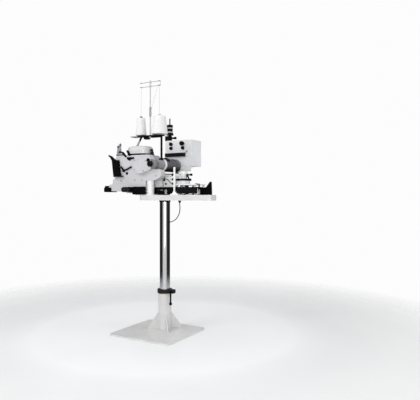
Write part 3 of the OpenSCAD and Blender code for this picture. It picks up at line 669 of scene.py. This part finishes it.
EDGE = {
    "base_plate": 2.0, "base_tube": 1.2, "table": 2.5, "front_bar": 2.5, "front_supports": 1.5, "head_frame": 5.0, "belt_guard": 4.0,
    "motor_bracket": 1.5, "infeed_frame": 1.2, "infeed_motor": 2.0, "control_box": 1.6, "box_mast": 1.6, "box_door": 1.0,
    "motor_body": 0.7, "clutch_housing": 1.0, "clamp_collar": 1.5, "thread_plate": 1.2, "thread_pole": 0.6, "guide_rails": 0.7,
    "front_frame": 1.0, "cutter_body": 2.0, "needle_cover": 2.0, "needle_housing": 2.0, "presser_lever": 1.4, "clamp_lever": 1.5,
    "stand_post": 1.0, "throat_plate": 0.6, "presser_foot": 0.6, "selector": 1.2, "button_a": 1.2, "button_b": 1.2,
    "stop_button": 2.5, "regulator": 1.2, "spool_rests": 0.8, "lift_column": 0.8, "main_shaft": 0.8,
    "rear_idler": 0.8, "front_idler": 0.8, "rear_drive": 0.6, "front_drive": 0.6,
}
for name, width in EDGE.items():
    soften(name, width, 3 if width >= 2.0 else 2)


# ---------------------------------------------------------------- pieces drawn here
def wound(name, node, x, r1, r2, h, b1, b2, turns, leave):
    """A cross-wound yarn package: diamond lay on the flank, soft shoulders, and the strand that winds up to the leaving thread."""
    bm = bmesh.new()
    z0 = ZT + 488.0
    n = 72
    prof = [(b1, 0.0), (r1 - 6.0, 0.0), (r1 - 3.0, 0.5), (r1 - 1.2, 2.0)]
    prof += [(r1 + (r2 - r1) * i / n - 0.7, 4.0 + (h - 8.0) * i / n) for i in range(n + 1)]
    prof += [(r2 - 1.6, h - 1.9), (r2 - 4.0, h - 0.4), (r2 - 8.0, h), (b2, h)]

    def lay(a, r, z):
        if z < 3.0 or z > h - 3.0 or r < r2 - 2.0:
            return r
        p, q = turns * a + TAU * z / 30.0, turns * a - TAU * z / 30.0
        return r + 0.42 * max(math.sin(p), math.sin(q)) + 0.16 * math.sin(3.0 * (p if math.sin(p) > math.sin(q) else q))

    lathe(bm, prof, (x, -300, z0), (0, 0, 1), 168, True, lay)
    r_off = math.hypot(leave[0] - x, leave[1] + 300)
    a_off = math.atan2(leave[1] + 300, leave[0] - x)
    path = []
    for k in range(25):
        t = k / 24.0
        a = a_off - 2.4 * (1.0 - t)
        if t < 0.8:
            z = h - 52.0 + 49.0 * t / 0.8
            r = r1 + (r2 - r1) * (z - 4.0) / (h - 8.0) + 0.2
        else:
            u = (t - 0.8) / 0.2
            z = h - 3.0 + 3.6 * math.sin(u * math.pi / 2)
            r = r2 + 0.2 + (r_off - r2 - 0.2) * (1.0 - math.cos(u * math.pi / 2))
        path.append((x + r * math.cos(a), -300 + r * math.sin(a), z0 + z))
    path.append(leave)
    tube(bm, path, 0.62, 8)
    return done(bm, name, "lift", YARN, (node,), 60.0)


wound("wound_cone_small", "small_cone", -26, 45.0, 33.0, 143.0, 17.3, 11.8, 7, THREAD_A[0])
wound("wound_cone_big", "big_cone", 158, 67.0, 51.0, 146.0, 24.3, 15.1, 9, THREAD_B[0])


# the top cover: a drawn shell with leaning flanks, its gasket, and the toggle latch at the right end
bm = bmesh.new()
SHELL = [(0, 0), (0, 8), (0, 20), (0.2, 34), (0.9, 45), (2.5, 54), (5.4, 61.4), (9.4, 67.0), (14.4, 71.2), (20.2, 73.9), (26.6, 75.3), (33.6, 75.9), (44, 76), (58, 76)]
loft(bm, [[(x, y, ZT + 320 + h) for x, y in round_rect(-118 + d, 86 - d, -398 + d, -242 - d, max(60 - d, 16), 14)] for d, h in SHELL])
done(bm, "cover_shell", "lift", COVER, ("top_cover",), 50.0)

bm = bmesh.new()
loft(bm, [[(x, y, ZT + z) for x, y in round_rect(-118 - d, 86 + d, -398 - d * 0.8, -242 + d, 60 + d, 14)]
          for d, z in ((0.4, 320.0), (2.2, 320.4), (2.8, 322.4), (2.8, 330.0), (2.2, 331.8), (0.4, 332.6))])
done(bm, "cover_gasket", "lift", RUBBER)

bm = bmesh.new()
block(bm, 90, 111, -338, -302, ZT + 320, ZT + 326, 1.0)
for y in (-336, -309):
    extrude(bm, [(93, ZT + 325), (108, ZT + 325), (106, ZT + 343), (101, ZT + 348), (96, ZT + 343)], "y", y, y + 5, 0.8)
lathe(bm, [(0, -339), (3.2, -339), (3.6, -338.2), (3.6, -301.8), (3.2, -301), (0, -301)], (101, 0, ZT + 341), (0, 1, 0), 24)
extrude(bm, [(97, ZT + 334), (105, ZT + 335), (107, ZT + 350), (102, ZT + 366), (97, ZT + 372), (94, ZT + 369), (98, ZT + 361), (100, ZT + 348)], "y", -330, -310, 1.6, 3)
for y in (-326, -314):
    tube(bm, [(101, y, ZT + 349), (98, y, ZT + 354), (94.6, y, ZT + 359), (91, y, ZT + 363), (87.4, y, ZT + 365.2), (84.6, y, ZT + 364.4), (83.6, y, ZT + 361)], 1.8, 10)
extrude(bm, [(80, ZT + 355), (89, ZT + 355), (90.4, ZT + 359), (87.4, ZT + 361.5), (84, ZT + 366), (80, ZT + 366)], "y", -331, -309, 1.0)
done(bm, "cover_latch", "lift", DARK)

# screws of the head, of the motor's foot and of the mast's foot; the thumb knob of the belt guard
bm = bmesh.new()
for x, z in ((10, 202), (94, 190), (42, 280), (118, 268)):
    cap_screw(bm, (x, -430, ZT + z), (0, -1, 0), 4.5, 4.0)
for x, z in ((-150, 116), (-10, 120), (60, 120), (196, 150), (-12, 274)):
    cap_screw(bm, (x, -400, ZT + z), (0, -1, 0), 5.0, 5.0)
done(bm, "zinc_screws", "lift", ROD)

bm = bmesh.new()
cap_screw(bm, (-92, -400, ZT + 175), (0, -1, 0), 11.5, 2.4, 0.25)
for x in (136, 164):
    for y in (-276, -216):
        hex_head(bm, (x, y, ZT + 8), (0, 0, 1), 7.0, 7.5)
for x in (98, 172):
    for y in (-5, 66):
        hex_head(bm, (x, y, ZT + 8), (0, 0, 1), 5.0, 6.0)
lathe(bm, [(0, 0), (6.5, 0), (6.5, 4.5), (12.5, 5.0), (14.2, 6.5), (14.2, 15.5), (12.5, 17.5), (6.0, 18.0), (5.0, 17.2), (0, 17.2)], (151, -430, ZT + 272), (0, -1, 0), 72, False,
      lambda a, r, h: r - (0.8 * (0.5 + 0.5 * math.cos(18 * a)) if r > 10 else 0.0))
done(bm, "machine_screws", "lift", BLACK, ("head_screws",))


def ribbed_belt(name, node, y, body):
    """A feed belt around its two pulleys with cross ribs on the gripping side."""
    bm = bmesh.new()
    x0, x1, r = 388.0, 530.0, 24.4
    run = x1 - x0
    length = 2 * run + TAU * r
    n = round(length / 7.0)

    def at(s, out):
        s %= length
        if s < run:
            return (x0 + s, y - r - out)
        s -= run
        if s < math.pi * r:
            a = s / r - math.pi / 2
            return (x1 + (r + out) * math.cos(a), y + (r + out) * math.sin(a))
        s -= math.pi * r
        if s < run:
            return (x1 - s, y + r + out)
        a = (s - run) / r + math.pi / 2
        return (x0 + (r + out) * math.cos(a), y + (r + out) * math.sin(a))

    rows = []
    for i in range(n):
        for f, out in ((0.0, 3.8), (0.06, 4.0), (0.30, 4.0), (0.56, 4.0), (0.62, 3.8), (0.68, 2.9), (0.94, 2.9)):
            s = (i + f) * length / n
            a, b = at(s, out), at(s, out - 0.5)
            c = at(s, 0.0)
            rows.append([bm.verts.new(q) for q in ((*b, ZT + 12), (*a, ZT + 12.6), (*a, ZT + 59.4), (*b, ZT + 60), (*c, ZT + 60), (*c, ZT + 12))])
    for i, row in enumerate(rows):
        nxt = rows[(i + 1) % len(rows)]
        for k in range(6):
            j = (k + 1) % 6
            bm.faces.new((row[k], row[j], nxt[j], nxt[k]))
    return done(bm, name, body, RUBBER, (node,), 30.0)


ribbed_belt("ribbed_rear_belt", "rear_belt", -300.0, "lift")
ribbed_belt("ribbed_front_belt", "front_belt", -361.0, "front_frame_body")

# the motor's hand knob with finger lobes, its shaft and its grooved pulley
bm = bmesh.new()
lathe(bm, [(0, -440), (8, -440), (8, -422), (25, -422), (26, -421.4), (26, -419), (24.6, -417.8), (24.6, -414.2), (26, -413), (24.6, -411.8), (24.6, -408.2), (26, -407), (26, -404.6), (25, -404), (8, -404), (8, -374.6), (7.4, -374), (0, -374)],
      (175, 0, ZT + 242), (0, 1, 0), 72)
lathe(bm, [(0, -463), (5, -463), (6, -464), (14, -464), (18.4, -463), (21.9, -460), (23.5, -455.5), (23.5, -444.5), (21.9, -439.5), (17.4, -436), (11, -434.4), (9, -434), (0, -434)],
      (175, 0, ZT + 242), (0, 1, 0), 96, False, lambda a, r, h: r * (1.0 - 0.10 * (0.5 + 0.5 * math.cos(7 * a)) ** 2) if r > 15 else r)
done(bm, "hand_knob", "motor_shaft_body", PLASTIC, ("motor_shaft",), 40.0)

# thread tension: studs with dished discs and coil springs, fluted nuts, and the black take-up levers
bm = bmesh.new()
POSTS = (("a", -194, 412.0), ("b", -172, 427.0))
for tag, x, t in POSTS:
    lathe(bm, [(0, 320), (10, 320), (10, 327.5), (8.8, 329), (4, 329), (4, t - 58), (9.6, t - 59.2), (10.4, t - 58.6), (10.4, t - 57.8), (7.4, t - 56.2), (7.4, t - 54.8),
               (10.4, t - 53.2), (10.4, t - 52.4), (9.6, t - 51.8), (4, t - 53), (4, t - 1.4), (3, t), (0, t)], (x, -388, ZT), (0, 0, 1), 48)
    tube(bm, [(x + 7.0 * math.cos(TAU * k / 16), -388 + 7.0 * math.sin(TAU * k / 16), ZT + t - 50.8 + 23.2 * k / 112) for k in range(113)], 1.3, 8)
    tube(bm, [(x + 2.5, -391, ZT + t - 70), (x + 5, -398, ZT + t - 67), (x + 4, -405, ZT + t - 63), (x - 1, -408, ZT + t - 61), (x - 5, -406, ZT + t - 59), (x - 5, -401, ZT + t - 58)], 1.1, 8)
done(bm, "tension_posts", "lift", ROD, ("thread_guides",), 40.0)

# grey foot block and turned sleeves of the tension posts, with a black clip on the taller one
bm = bmesh.new()
extrude(bm, round_rect(-206, -140, ZT + 319.6, ZT + 340, 6, 5), "y", -398, -377, 1.4, 2)
for tag, x, t in POSTS:
    lathe(bm, [(4.02, 339), (9.6, 339), (9.6, 342), (8.6, 343.4), (8.6, t - 65), (9.8, t - 63.4), (9.8, t - 60.6), (9.0, t - 59.8), (4.02, t - 59.8)], (x, -388, ZT), (0, 0, 1), 48, True)
for x in (-200, -148):
    cap_screw(bm, (x, -397.6, ZT + 330), (0, -1, 0), 3.4, 3.2)
done(bm, "tension_block", "lift", DISC)

bm = bmesh.new()
lathe(bm, [(8.7, 345), (10.2, 345), (10.8, 346), (10.8, 356), (10.2, 357), (8.7, 357)], (-172, -388, ZT), (0, 0, 1), 48, True)
extrude(bm, [(-163, ZT + 346.5), (-152, ZT + 346.5), (-150, ZT + 348.5), (-150, ZT + 353), (-152, ZT + 355), (-163, ZT + 355)], "y", -390.5, -385.5, 0.8, 2)
done(bm, "tension_clip", "lift", BLACK)

bm = bmesh.new()
extrude(bm, [(-110, ZT + 309), (-105, ZT + 307), (-94, ZT + 310), (-94, ZT + 316), (-103, ZT + 326), (-122, ZT + 346), (-129, ZT + 352), (-138, ZT + 351), (-144, ZT + 345), (-139, ZT + 338)], "y", -408, -400, 1.4, 2)
extrude(bm, [(-70, ZT + 318), (-65, ZT + 315.5), (-53, ZT + 319), (-52, ZT + 325), (-60, ZT + 336), (-73, ZT + 354), (-79, ZT + 361), (-88, ZT + 361), (-94, ZT + 355), (-88, ZT + 344)], "y", -408, -400, 1.4, 2)
extrude(bm, [(-88, ZT + 292), (-85, ZT + 289), (-75, ZT + 288), (-74, ZT + 281), (-72, ZT + 279), (-56, ZT + 279), (-52, ZT + 287), (-48, ZT + 289), (-20, ZT + 290), (-17, ZT + 293),
             (-17, ZT + 302), (-20, ZT + 304), (-60, ZT + 305), (-85, ZT + 306), (-88, ZT + 303)], "y", -409, -400, 1.6, 2)
for x, z in ((-102, 316), (-62, 324), (-30, 297)):
    cap_screw(bm, (x, -408, ZT + z), (0, -1, 0), 4.5, 4.0)
for x, z in ((-137, 347), (-86, 356)):
    lathe(bm, [(0, 0), (5.4, 0), (5.4, 2.4), (4.4, 3.4), (0, 3.4)], (x, -408, ZT + z), (0, -1, 0), 28)
done(bm, "thread_levers", "lift", BLACK)

for tag, x, t in POSTS:
    bm = bmesh.new()
    lathe(bm, [(4.05, t - 26), (8.0, t - 26), (9.0, t - 24.8), (9.0, t - 12), (7.6, t - 9), (5.6, t - 8), (4.05, t - 8)], (x, -388, ZT), (0, 0, 1), 120, True,
          lambda a, r, h: r - 0.7 * (0.5 + 0.5 * math.cos(20 * a)) if r > 7.8 else r)
    done(bm, "fluted_nut_" + tag, "tension_nut_%s_body" % tag, ALLOY, ("tension_nut_" + tag,), 30.0)

# the wire guide on the pole that takes the looper thread down
bm = bmesh.new()
tube(bm, [(67, -307, ZT + 664), (69, -310, ZT + 664), (73, -313.4, ZT + 665), (78, -314.4, ZT + 668), (81.6, -312.6, ZT + 671.4), (82, -309, ZT + 673.6), (79.4, -306, ZT + 674.6),
          (76, -305.6, ZT + 674.6), (73.6, -307.6, ZT + 674), (74, -310.4, ZT + 673.4), (76.6, -311.6, ZT + 672.8)], 1.3, 10)
lathe(bm, [(0, -9), (9.6, -9), (10, -8.4), (10, 8.4), (9.6, 9), (0, 9)], (67, -300, ZT + 664), (0, 0, 1), 48)
cap_screw(bm, (67, -309.4, ZT + 660), (0, -1, 0), 3.0, 3.0)
done(bm, "thread_hook", "lift", ROD)

# the regulator's adjusting knob: fluted grip with two pale bands and a thin stem
bm = bmesh.new()
RZ = 1641.0
lathe(bm, [(0, 94), (7.05, 94), (7.05, 69), (24.4, 69), (25.4, 69.6), (26, 71), (26, 80.6), (24.8, 81.2), (24.8, 105.4), (26, 106), (26, 115), (24.8, 115.6), (24.8, 119), (26, 120), (26, 136), (25, 138.8), (22.6, 140),
           (8, 140), (6.2, 141), (5, 143), (5, 170), (4.2, 171), (4.2, 174), (5, 175), (5, 194), (4, 196), (0, 196)], (32, 30, RZ), (0, 0, 1), 180, False,
      lambda a, r, h: r - 1.0 * (0.5 + 0.5 * math.cos(30 * a)) if r > 25.9 and 71 < h < 137 else r)
done(bm, "fluted_knob", "regulator_knob_body", KNOB_BANDS, ("regulator_knob",), 32.0)

# the cable's gland under the table and its grommet in the column
bm = bmesh.new()
lathe(bm, [(0, -8), (7.3, -8), (7.8, -7.4), (7.8, 0.4), (0, 0.4)], (154, 0, ZB), (0, 0, -1), 40)
hex_head(bm, (154, 0, ZB), (0, 0, -1), 13.0, 12.0, False)
lathe(bm, [(0, 11.6), (9.2, 11.6), (9.6, 12.4), (9.6, 19.0), (8.6, 22.0), (6.4, 24.0), (0, 24.0)], (154, 0, ZB), (0, 0, -1), 72, False,
      lambda a, r, h: r - 0.5 * (0.5 + 0.5 * math.cos(18 * a)) if r > 9 else r)
lathe(bm, [(0, 39.6), (6.6, 39.6), (6.8, 40.2), (6.8, 44.5), (9.4, 44.7), (10, 45.4), (10, 47.4), (8.4, 50.2), (6.0, 52), (0, 52)], (0, 0, ZB - 190), (1, 0, 0), 48)
done(bm, "gland_and_grommet", "lift", PLASTIC, ("cable_fittings",))

# motor: bright ring on the front flange, a machined ring whose near-white tone also paints the highlight on its rim;
# terminal lid with screws, grille on the fan cowl
bm = bmesh.new()
lathe(bm, [(47.05, -293.8), (47.6, -293.8), (48.6, -293), (48.8, -291.5), (48.8, -282.4), (48.4, -281), (47.8, -280.2), (47.05, -280.2)], (175, 0, ZT + 242), (0, 1, 0), 96, True)
done(bm, "motor_ring", "lift", BRIGHT)

bm = bmesh.new()
extrude(bm, round_rect(-201, -139, ZT + 213, ZT + 271, 4, 5), "x", 99.4, 101.2, 0.4, 1)
extrude(bm, round_rect(-201.5, -138.5, ZT + 212.5, ZT + 271.5, 4, 5), "x", 94.4, 99.4, 1.4, 3)
for y in (-195, -145):
    for z in (219, 265):
        cap_screw(bm, (94.8, y, ZT + z), (-1, 0, 0), 3.4, 3.0)
done(bm, "terminal_lid", "lift", ALLOY)

bm = bmesh.new()
for r in (14.0, 22.0, 30.0, 38.0, 46.0):
    lathe(bm, [(r - 2.2, 0), (r + 2.2, 0), (r + 1.8, 2.2), (r, 3.0), (r - 1.8, 2.2)], (175, -88, ZT + 242), (0, 1, 0), 72, True)
lathe(bm, [(0, 0), (8, 0), (7.4, 2.6), (5.5, 3.6), (0, 4.0)], (175, -88, ZT + 242), (0, 1, 0), 36)
for k in range(6):
    a = TAU * k / 6 + 0.26
    c, s = math.cos(a), math.sin(a)
    tube(bm, [(175 + c * d, -87.4, ZT + 242 + s * d) for d in (5, 18, 32, 47.5)], 1.7, 8)
done(bm, "fan_grille", "lift", ALLOY)

# gearmotor: bolts of the flange, bolts and screws of the in-feed plate
bm = bmesh.new()
for k in range(6):
    a = math.radians(35 + 60 * k)
    hex_head(bm, (388 + 54 * math.cos(a), -300 + 54 * math.sin(a), ZT + 126), (0, 0, 1), 5.0, 6.0)
for x in (450, 545):
    hex_head(bm, (x, -259, ZT + 82), (0, 0, 1), 6.5, 7.0)
for x, y in ((362, -322), (362, -257), (552, -318)):
    cap_screw(bm, (x, y, ZT + 82), (0, 0, 1), 4.0, 4.0)
done(bm, "infeed_bolts", "lift", STEEL)

# drive housing of the in-feed on the table: foot, split body and cap, with its bolts and an oil pipe
bm = bmesh.new()
extrude(bm, round_rect(188.4, 321, -306.6, -220, 8, 6), "z", ZT, ZT + 8, 1.5, 2)
extrude(bm, round_rect(194, 318, -302, -238, 14, 8), "z", ZT + 7, ZT + 100, 1.0, 2)
extrude(bm, round_rect(190, 321, -305, -234, 16, 8), "z", ZT + 99, ZT + 106, 1.5, 2)
cap_line = [(196, ZT + 105), (316, ZT + 105)]
cap_line += [(284 + 32 * math.cos(math.radians(a)), ZT + 140 + 32 * math.sin(math.radians(a))) for a in range(0, 91, 10)]
cap_line += [(218 + 22 * math.cos(math.radians(a)), ZT + 150 + 22 * math.sin(math.radians(a))) for a in range(90, 181, 10)]
extrude(bm, cap_line, "y", -301, -240, 5.0, 4)
lathe(bm, [(0, 0), (23, 0), (23, 3.4), (21.6, 5), (11, 5), (9.6, 3.6), (0, 3.6)], (256, -300.6, ZT + 136), (0, -1, 0), 64)
done(bm, "drive_housing", "lift", HOUSE)

bm = bmesh.new()
for x in (197, 312):
    for y in (-229,):
        hex_head(bm, (x, y, ZT + 8), (0, 0, 1), 6.5, 7.0)
for x, z in ((287, 124), (287, 88), (222, 88)):
    hex_head(bm, (x, -301.6, ZT + z), (0, -1, 0), 6.5, 6.5)
for k in range(4):
    a = TAU * (k + 0.5) / 4
    cap_screw(bm, (256 + 16.4 * math.cos(a), -305.4, ZT + 136 + 16.4 * math.sin(a)), (0, -1, 0), 2.8, 2.6)
for x in (200, 306):
    for y in (-296, -246):
        cap_screw(bm, (x, y, ZT + 106), (0, 0, 1), 3.6, 3.4)
hex_head(bm, (288, -300.6, ZT + 160), (0, -1, 0), 8.5, 11.0)
hex_head(bm, (207, -301.6, ZT + 119), (0, -1, 0), 8.0, 11.0)
done(bm, "housing_bolts", "lift", BLACK)

bm = bmesh.new()
pipe = [(288, -309, ZT + 160), (276, -309, ZT + 162), (258, -309, ZT + 163), (238, -309, ZT + 163), (226, -309, ZT + 162)]
pipe += [(224 + 13 * math.cos(math.radians(a)), -309, ZT + 149 + 13 * math.sin(math.radians(a))) for a in range(100, 181, 16)]
pipe += [(211, -309, ZT + 140), (210.4, -309, ZT + 132), (208.8, -309, ZT + 125), (207, -309, ZT + 119)]
tube(bm, pipe, 3.2, 12)
pipe = [(207, -310, ZT + 119), (209, -310, ZT + 123), (213, -310, ZT + 126.4), (219, -310, ZT + 128.2), (226, -310, ZT + 128.4), (234, -310, ZT + 126.8), (243, -310, ZT + 122.4),
        (252, -310, ZT + 116), (261, -310, ZT + 108.4), (270, -310, ZT + 100.4), (279, -310, ZT + 93.4), (287, -310, ZT + 88)]
tube(bm, pipe, 3.0, 12)
done(bm, "oil_pipe", "lift", ALLOY)

# saddle that carries the thread stand's post, and the motor's cable entry
bm = bmesh.new()
extrude(bm, round_rect(157.5, 199, ZT + 268.5, ZT + 294.2, 5, 5), "y", -307.6, -292.4, 1.2, 2)
for x in (164, 192):
    cap_screw(bm, (x, -307.4, ZT + 281), (0, -1, 0), 3.6, 3.4)
done(bm, "post_saddle", "lift", BLACK)

bm = bmesh.new()
cable_entry = [(175 + 60.5 * math.cos(math.radians(a)), ZT + 242 + 60.5 * math.sin(math.radians(a))) for a in range(30, 79, 4)]
cable_entry += [(175 + 50.0 * math.cos(math.radians(a)), ZT + 242 + 50.0 * math.sin(math.radians(a))) for a in range(78, 29, -4)]
extrude(bm, cable_entry, "y", -277, -246, 1.6, 2)
for a in (38, 70):
    c, s = math.cos(math.radians(a)), math.sin(math.radians(a))
    cap_screw(bm, (175 + 60.0 * c, -254, ZT + 242 + 60.0 * s), (c, 0, s), 3.0, 2.8)
done(bm, "cable_entry", "lift", PLASTIC)

# collar under the table, its black a painted shade for the dark band where the column meets the table; and the thin
# rod's flared foot
bm = bmesh.new()
lathe(bm, [(44.56, 0), (47.6, 0), (49.0, 1.2), (49.0, 13.6), (48.2, 15.6), (47.2, 16.8), (44.56, 16.8)], (0, 0, ZT - 58.8), (0, 0, 1), 96, True)
done(bm, "column_collar", "lift", RUBBER)

bm = bmesh.new()
extrude(bm, round_rect(332, 408, -412.5, -391, 5, 5), "z", ZT, ZT + 4.5, 1.0, 2)
extrude(bm, [(336, ZT + 4), (404, ZT + 4), (404, ZT + 7), (381, ZT + 16), (375.5, ZT + 28), (356.5, ZT + 28), (354, ZT + 16), (336, ZT + 7)], "y", -399.5, -391.2, 1.2, 2)
for x in (341, 399):
    cap_screw(bm, (x, -406, ZT + 4.4), (0, 0, 1), 4.0, 3.4)
done(bm, "rod_foot", "lift", NODE["front_supports"].data.materials[0])

# the swinging belt carrier's end guard on its bent arm, and the cover plate of the cutter
bm = bmesh.new()
extrude(bm, round_rect(-386, -350, ZT + 5, ZT + 49, 4, 4), "x", 566.4, 569.6, 0.6, 2)
done(bm, "end_guard", "front_frame_body", PALE)

bm = bmesh.new()
extrude(bm, [(540, ZT + 82), (556.2, ZT + 82), (556.2, ZT + 79.2), (568.4, ZT + 79.2), (569.6, ZT + 78), (569.6, ZT + 46), (572, ZT + 46), (572, ZT + 82), (570, ZT + 84.6), (540, ZT + 84.6)], "y", -371, -358, 0.5, 1)
extrude(bm, [(-386, ZT + 50), (-386, ZT + 17), (-383, ZT + 22), (-378, ZT + 33), (-371, ZT + 43), (-365, ZT + 45), (-357, ZT + 41), (-353, ZT + 24), (-350, ZT + 16), (-350, ZT + 50)], "x", 569.5, 572, 0.4, 1)
cap_screw(bm, (571.6, -364.5, ZT + 47), (1, 0, 0), 3.0, 2.6)
cap_screw(bm, (547, -364.5, ZT + 84.4), (0, 0, 1), 4.0, 4.0)
done(bm, "end_guard_arm", "front_frame_body", BLACK)

bm = bmesh.new()
extrude(bm, [(-330, ZT + 30), (-326, ZT + 26), (-262, ZT + 26), (-256, ZT + 32), (-256, ZT + 56), (-264, ZT + 62), (-326, ZT + 62), (-330, ZT + 58)], "y", -409, -400, 1.4, 2)
for x in (-322, -266):
    cap_screw(bm, (x, -409, ZT + 44), (0, -1, 0), 4.5, 4.0)
done(bm, "cutter_cover", "lift", BLACK)

# the wire that ties the two right-hand thread eyes together
bm = bmesh.new()
tube(bm, [(166.2, -300, ZT + 879.6), (166.8, -300, ZT + 888), (166.8, -300, ZT + 899), (166.8, -300, ZT + 909), (166.2, -300, ZT + 917.4)], 2.0, 10)
done(bm, "eye_link", "lift", ROD)

# control box: bright bezels round the buttons and a quarter-turn lock beside the bar
bm = bmesh.new()
for x, z in ((63, 191), (63, 155), (183, 155), (183, 191)):
    lathe(bm, [(15.04, 0), (17.0, 0), (17.0, 1.2), (16.3, 2.2), (15.04, 2.2)], (x, 6, 1418.0 + z), (0, -1, 0), 48, True)
lathe(bm, [(0, 0), (10, 0), (10, 1.6), (8.6, 3.0), (8.6, 5.0), (7.8, 5.8), (3.4, 5.8), (3.0, 4.2), (0, 4.2)], (221, 6, 1418.0 + 123), (0, -1, 0), 48)
extrude(bm, [(217.4, 1418.0 + 122), (224.6, 1418.0 + 122), (224.6, 1418.0 + 124), (217.4, 1418.0 + 124)], "y", 0.4, 2.4, 0.3, 1)
done(bm, "door_hardware", "box_door_body", ROD)


# ---------------------------------------------------------------- studio
world = bpy.data.worlds.new("studio")
scene.world = world
world.use_nodes = True
wt = world.node_tree
wt.nodes.clear()


def w_node(kind, **values):
    n = wt.nodes.new(kind)
    for key, value in values.items():
        setattr(n, key, value)
    return n


def w_math(op, a, b):
    n = w_node("ShaderNodeMath", operation=op)
    n.use_clamp = op == "MULTIPLY"
    for socket, value in zip(n.inputs, (a, b)):
        if isinstance(value, float):
            socket.default_value = value
        else:
            wt.links.new(value, socket)
    return n.outputs[0]


def w_back(colour, strength):
    n = w_node("ShaderNodeBackground")
    n.inputs["Color"].default_value = (*colour, 1.0)
    if isinstance(strength, float):
        n.inputs["Strength"].default_value = strength
    else:
        wt.links.new(strength, n.inputs["Strength"])
    return n.outputs[0]


# a soft even dome lights the part; bright metal mirrors a studio with a lit front and dark flanks
w_out = w_node("ShaderNodeOutputWorld")
w_path = w_node("ShaderNodeLightPath")
w_dir = w_node("ShaderNodeTexCoord")
w_dot = w_node("ShaderNodeVectorMath", operation="DOT_PRODUCT")
w_dot.inputs[1].default_value = (0.5, -0.866, 0.0)
wt.links.new(w_dir.outputs["Generated"], w_dot.inputs[0])
w_front = w_node("ShaderNodeMapRange", interpolation_type="SMOOTHSTEP")
w_front.inputs["From Min"].default_value = 0.58
w_front.inputs["From Max"].default_value = 0.86
w_front.inputs["To Min"].default_value = 0.0
w_front.inputs["To Max"].default_value = 0.85
wt.links.new(w_dot.outputs["Value"], w_front.inputs["Value"])
w_sep = w_node("ShaderNodeSeparateXYZ")
wt.links.new(w_dir.outputs["Generated"], w_sep.inputs[0])
w_high = w_node("ShaderNodeMapRange", interpolation_type="SMOOTHSTEP")
w_high.inputs["From Min"].default_value = 0.25
w_high.inputs["From Max"].default_value = 0.75
w_high.inputs["To Min"].default_value = 0.025
w_high.inputs["To Max"].default_value = 0.95
wt.links.new(w_sep.outputs[2], w_high.inputs["Value"])
mirror = w_back((1.0, 1.0, 1.0), w_math("ADD", w_front.outputs[0], w_high.outputs[0]))
dome = w_back((0.96, 0.97, 1.0), 0.58)
page = w_back((1.0, 1.0, 1.0), 0.98)
w_a = w_node("ShaderNodeMixShader")
wt.links.new(w_path.outputs["Is Glossy Ray"], w_a.inputs[0])
wt.links.new(dome, w_a.inputs[1])
wt.links.new(mirror, w_a.inputs[2])
w_b = w_node("ShaderNodeMixShader")
wt.links.new(w_path.outputs["Is Camera Ray"], w_b.inputs[0])
wt.links.new(w_a.outputs[0], w_b.inputs[1])
wt.links.new(page, w_b.inputs[2])
wt.links.new(w_b.outputs[0], w_out.inputs[0])


def lamp(name, place, aim, wide, tall, watts, tone=(1, 1, 1)):
    li = bpy.data.lights.new(name, "AREA")
    li.shape = "RECTANGLE"
    li.size, li.size_y = wide, tall
    li.energy = watts
    li.color = tone
    ob = bpy.data.objects.new(name, li)
    scene.collection.objects.link(ob)
    ob.location = place
    ob.rotation_euler = (Vector(aim) - Vector(place)).to_track_quat("-Z", "Y").to_euler()
    return ob


lamp("key", (-1.5, -3.4, 3.4), (0.1, -0.2, 1.2), 2.2, 2.2, 58.0)
lamp("front", (2.5, -4.2, 2.0), (0.1, -0.2, 1.1), 1.5, 2.4, 62.0)
lamp("side", (3.6, 0.6, 2.4), (0.1, -0.2, 1.2), 1.6, 1.6, 20.0)
lamp("top", (0.2, -0.4, 4.6), (0.1, -0.3, 1.0), 2.6, 2.6, 26.0)
lamp("back", (-1.6, 3.2, 2.6), (0.1, -0.2, 1.2), 2.0, 2.0, 18.0)
lamp("low", (2.2, -3.6, 0.9), (0.2, -0.25, 1.3), 1.8, 1.2, 16.0)

# the floor: a pale disc that fades out into the white of the studio
bm = bmesh.new()
lathe(bm, [(0, -6.0), (3200, -6.0), (3200, -0.4), (3190, 0.0), (0, 0.0)], (0, 0, 0), (0, 0, 1), 96)
for v in bm.verts:
    v.co *= MM
me = bpy.data.meshes.new("floor")
bm.to_mesh(me)
bm.free()
floor = bpy.data.objects.new("floor", me)
scene.collection.objects.link(floor)
fm = Mat("pale_floor", 0.7)
fm.colour(fm.mix(fm.span(fm.noise(0.8, 4.0, 0.6), 0.3, 0.7, 0.0, 1.0), (0.86, 0.86, 0.855), (0.89, 0.89, 0.885)))
fm.rough(fm.span(fm.noise(3.0, 4.0, 0.6), 0.3, 0.7, 0.6, 0.8))
fm.bump(fm.noise(160.0, 3.0, 0.6), 0.03, 0.0005)
f_len = fm.node("ShaderNodeVectorMath")
f_len.operation = "LENGTH"
fm.link(fm.co, f_len.inputs[0])
f_clear = fm.node("ShaderNodeBsdfTransparent")
f_mix = fm.node("ShaderNodeMixShader")
fm.link(fm.span(f_len.outputs["Value"], 1.1, 3.0, 0.0, 1.0), f_mix.inputs[0])
fm.link(fm.b.outputs["BSDF"], f_mix.inputs[1])
fm.link(f_clear.outputs[0], f_mix.inputs[2])
fm.link(f_mix.outputs[0], next(n for n in fm.t.nodes if n.type == "OUTPUT_MATERIAL").inputs["Surface"])
me.materials.append(fm.m)

VIEW = scene.view_settings
VIEW.view_transform = "Standard"
VIEW.look = "None"
VIEW.exposure = 0.0
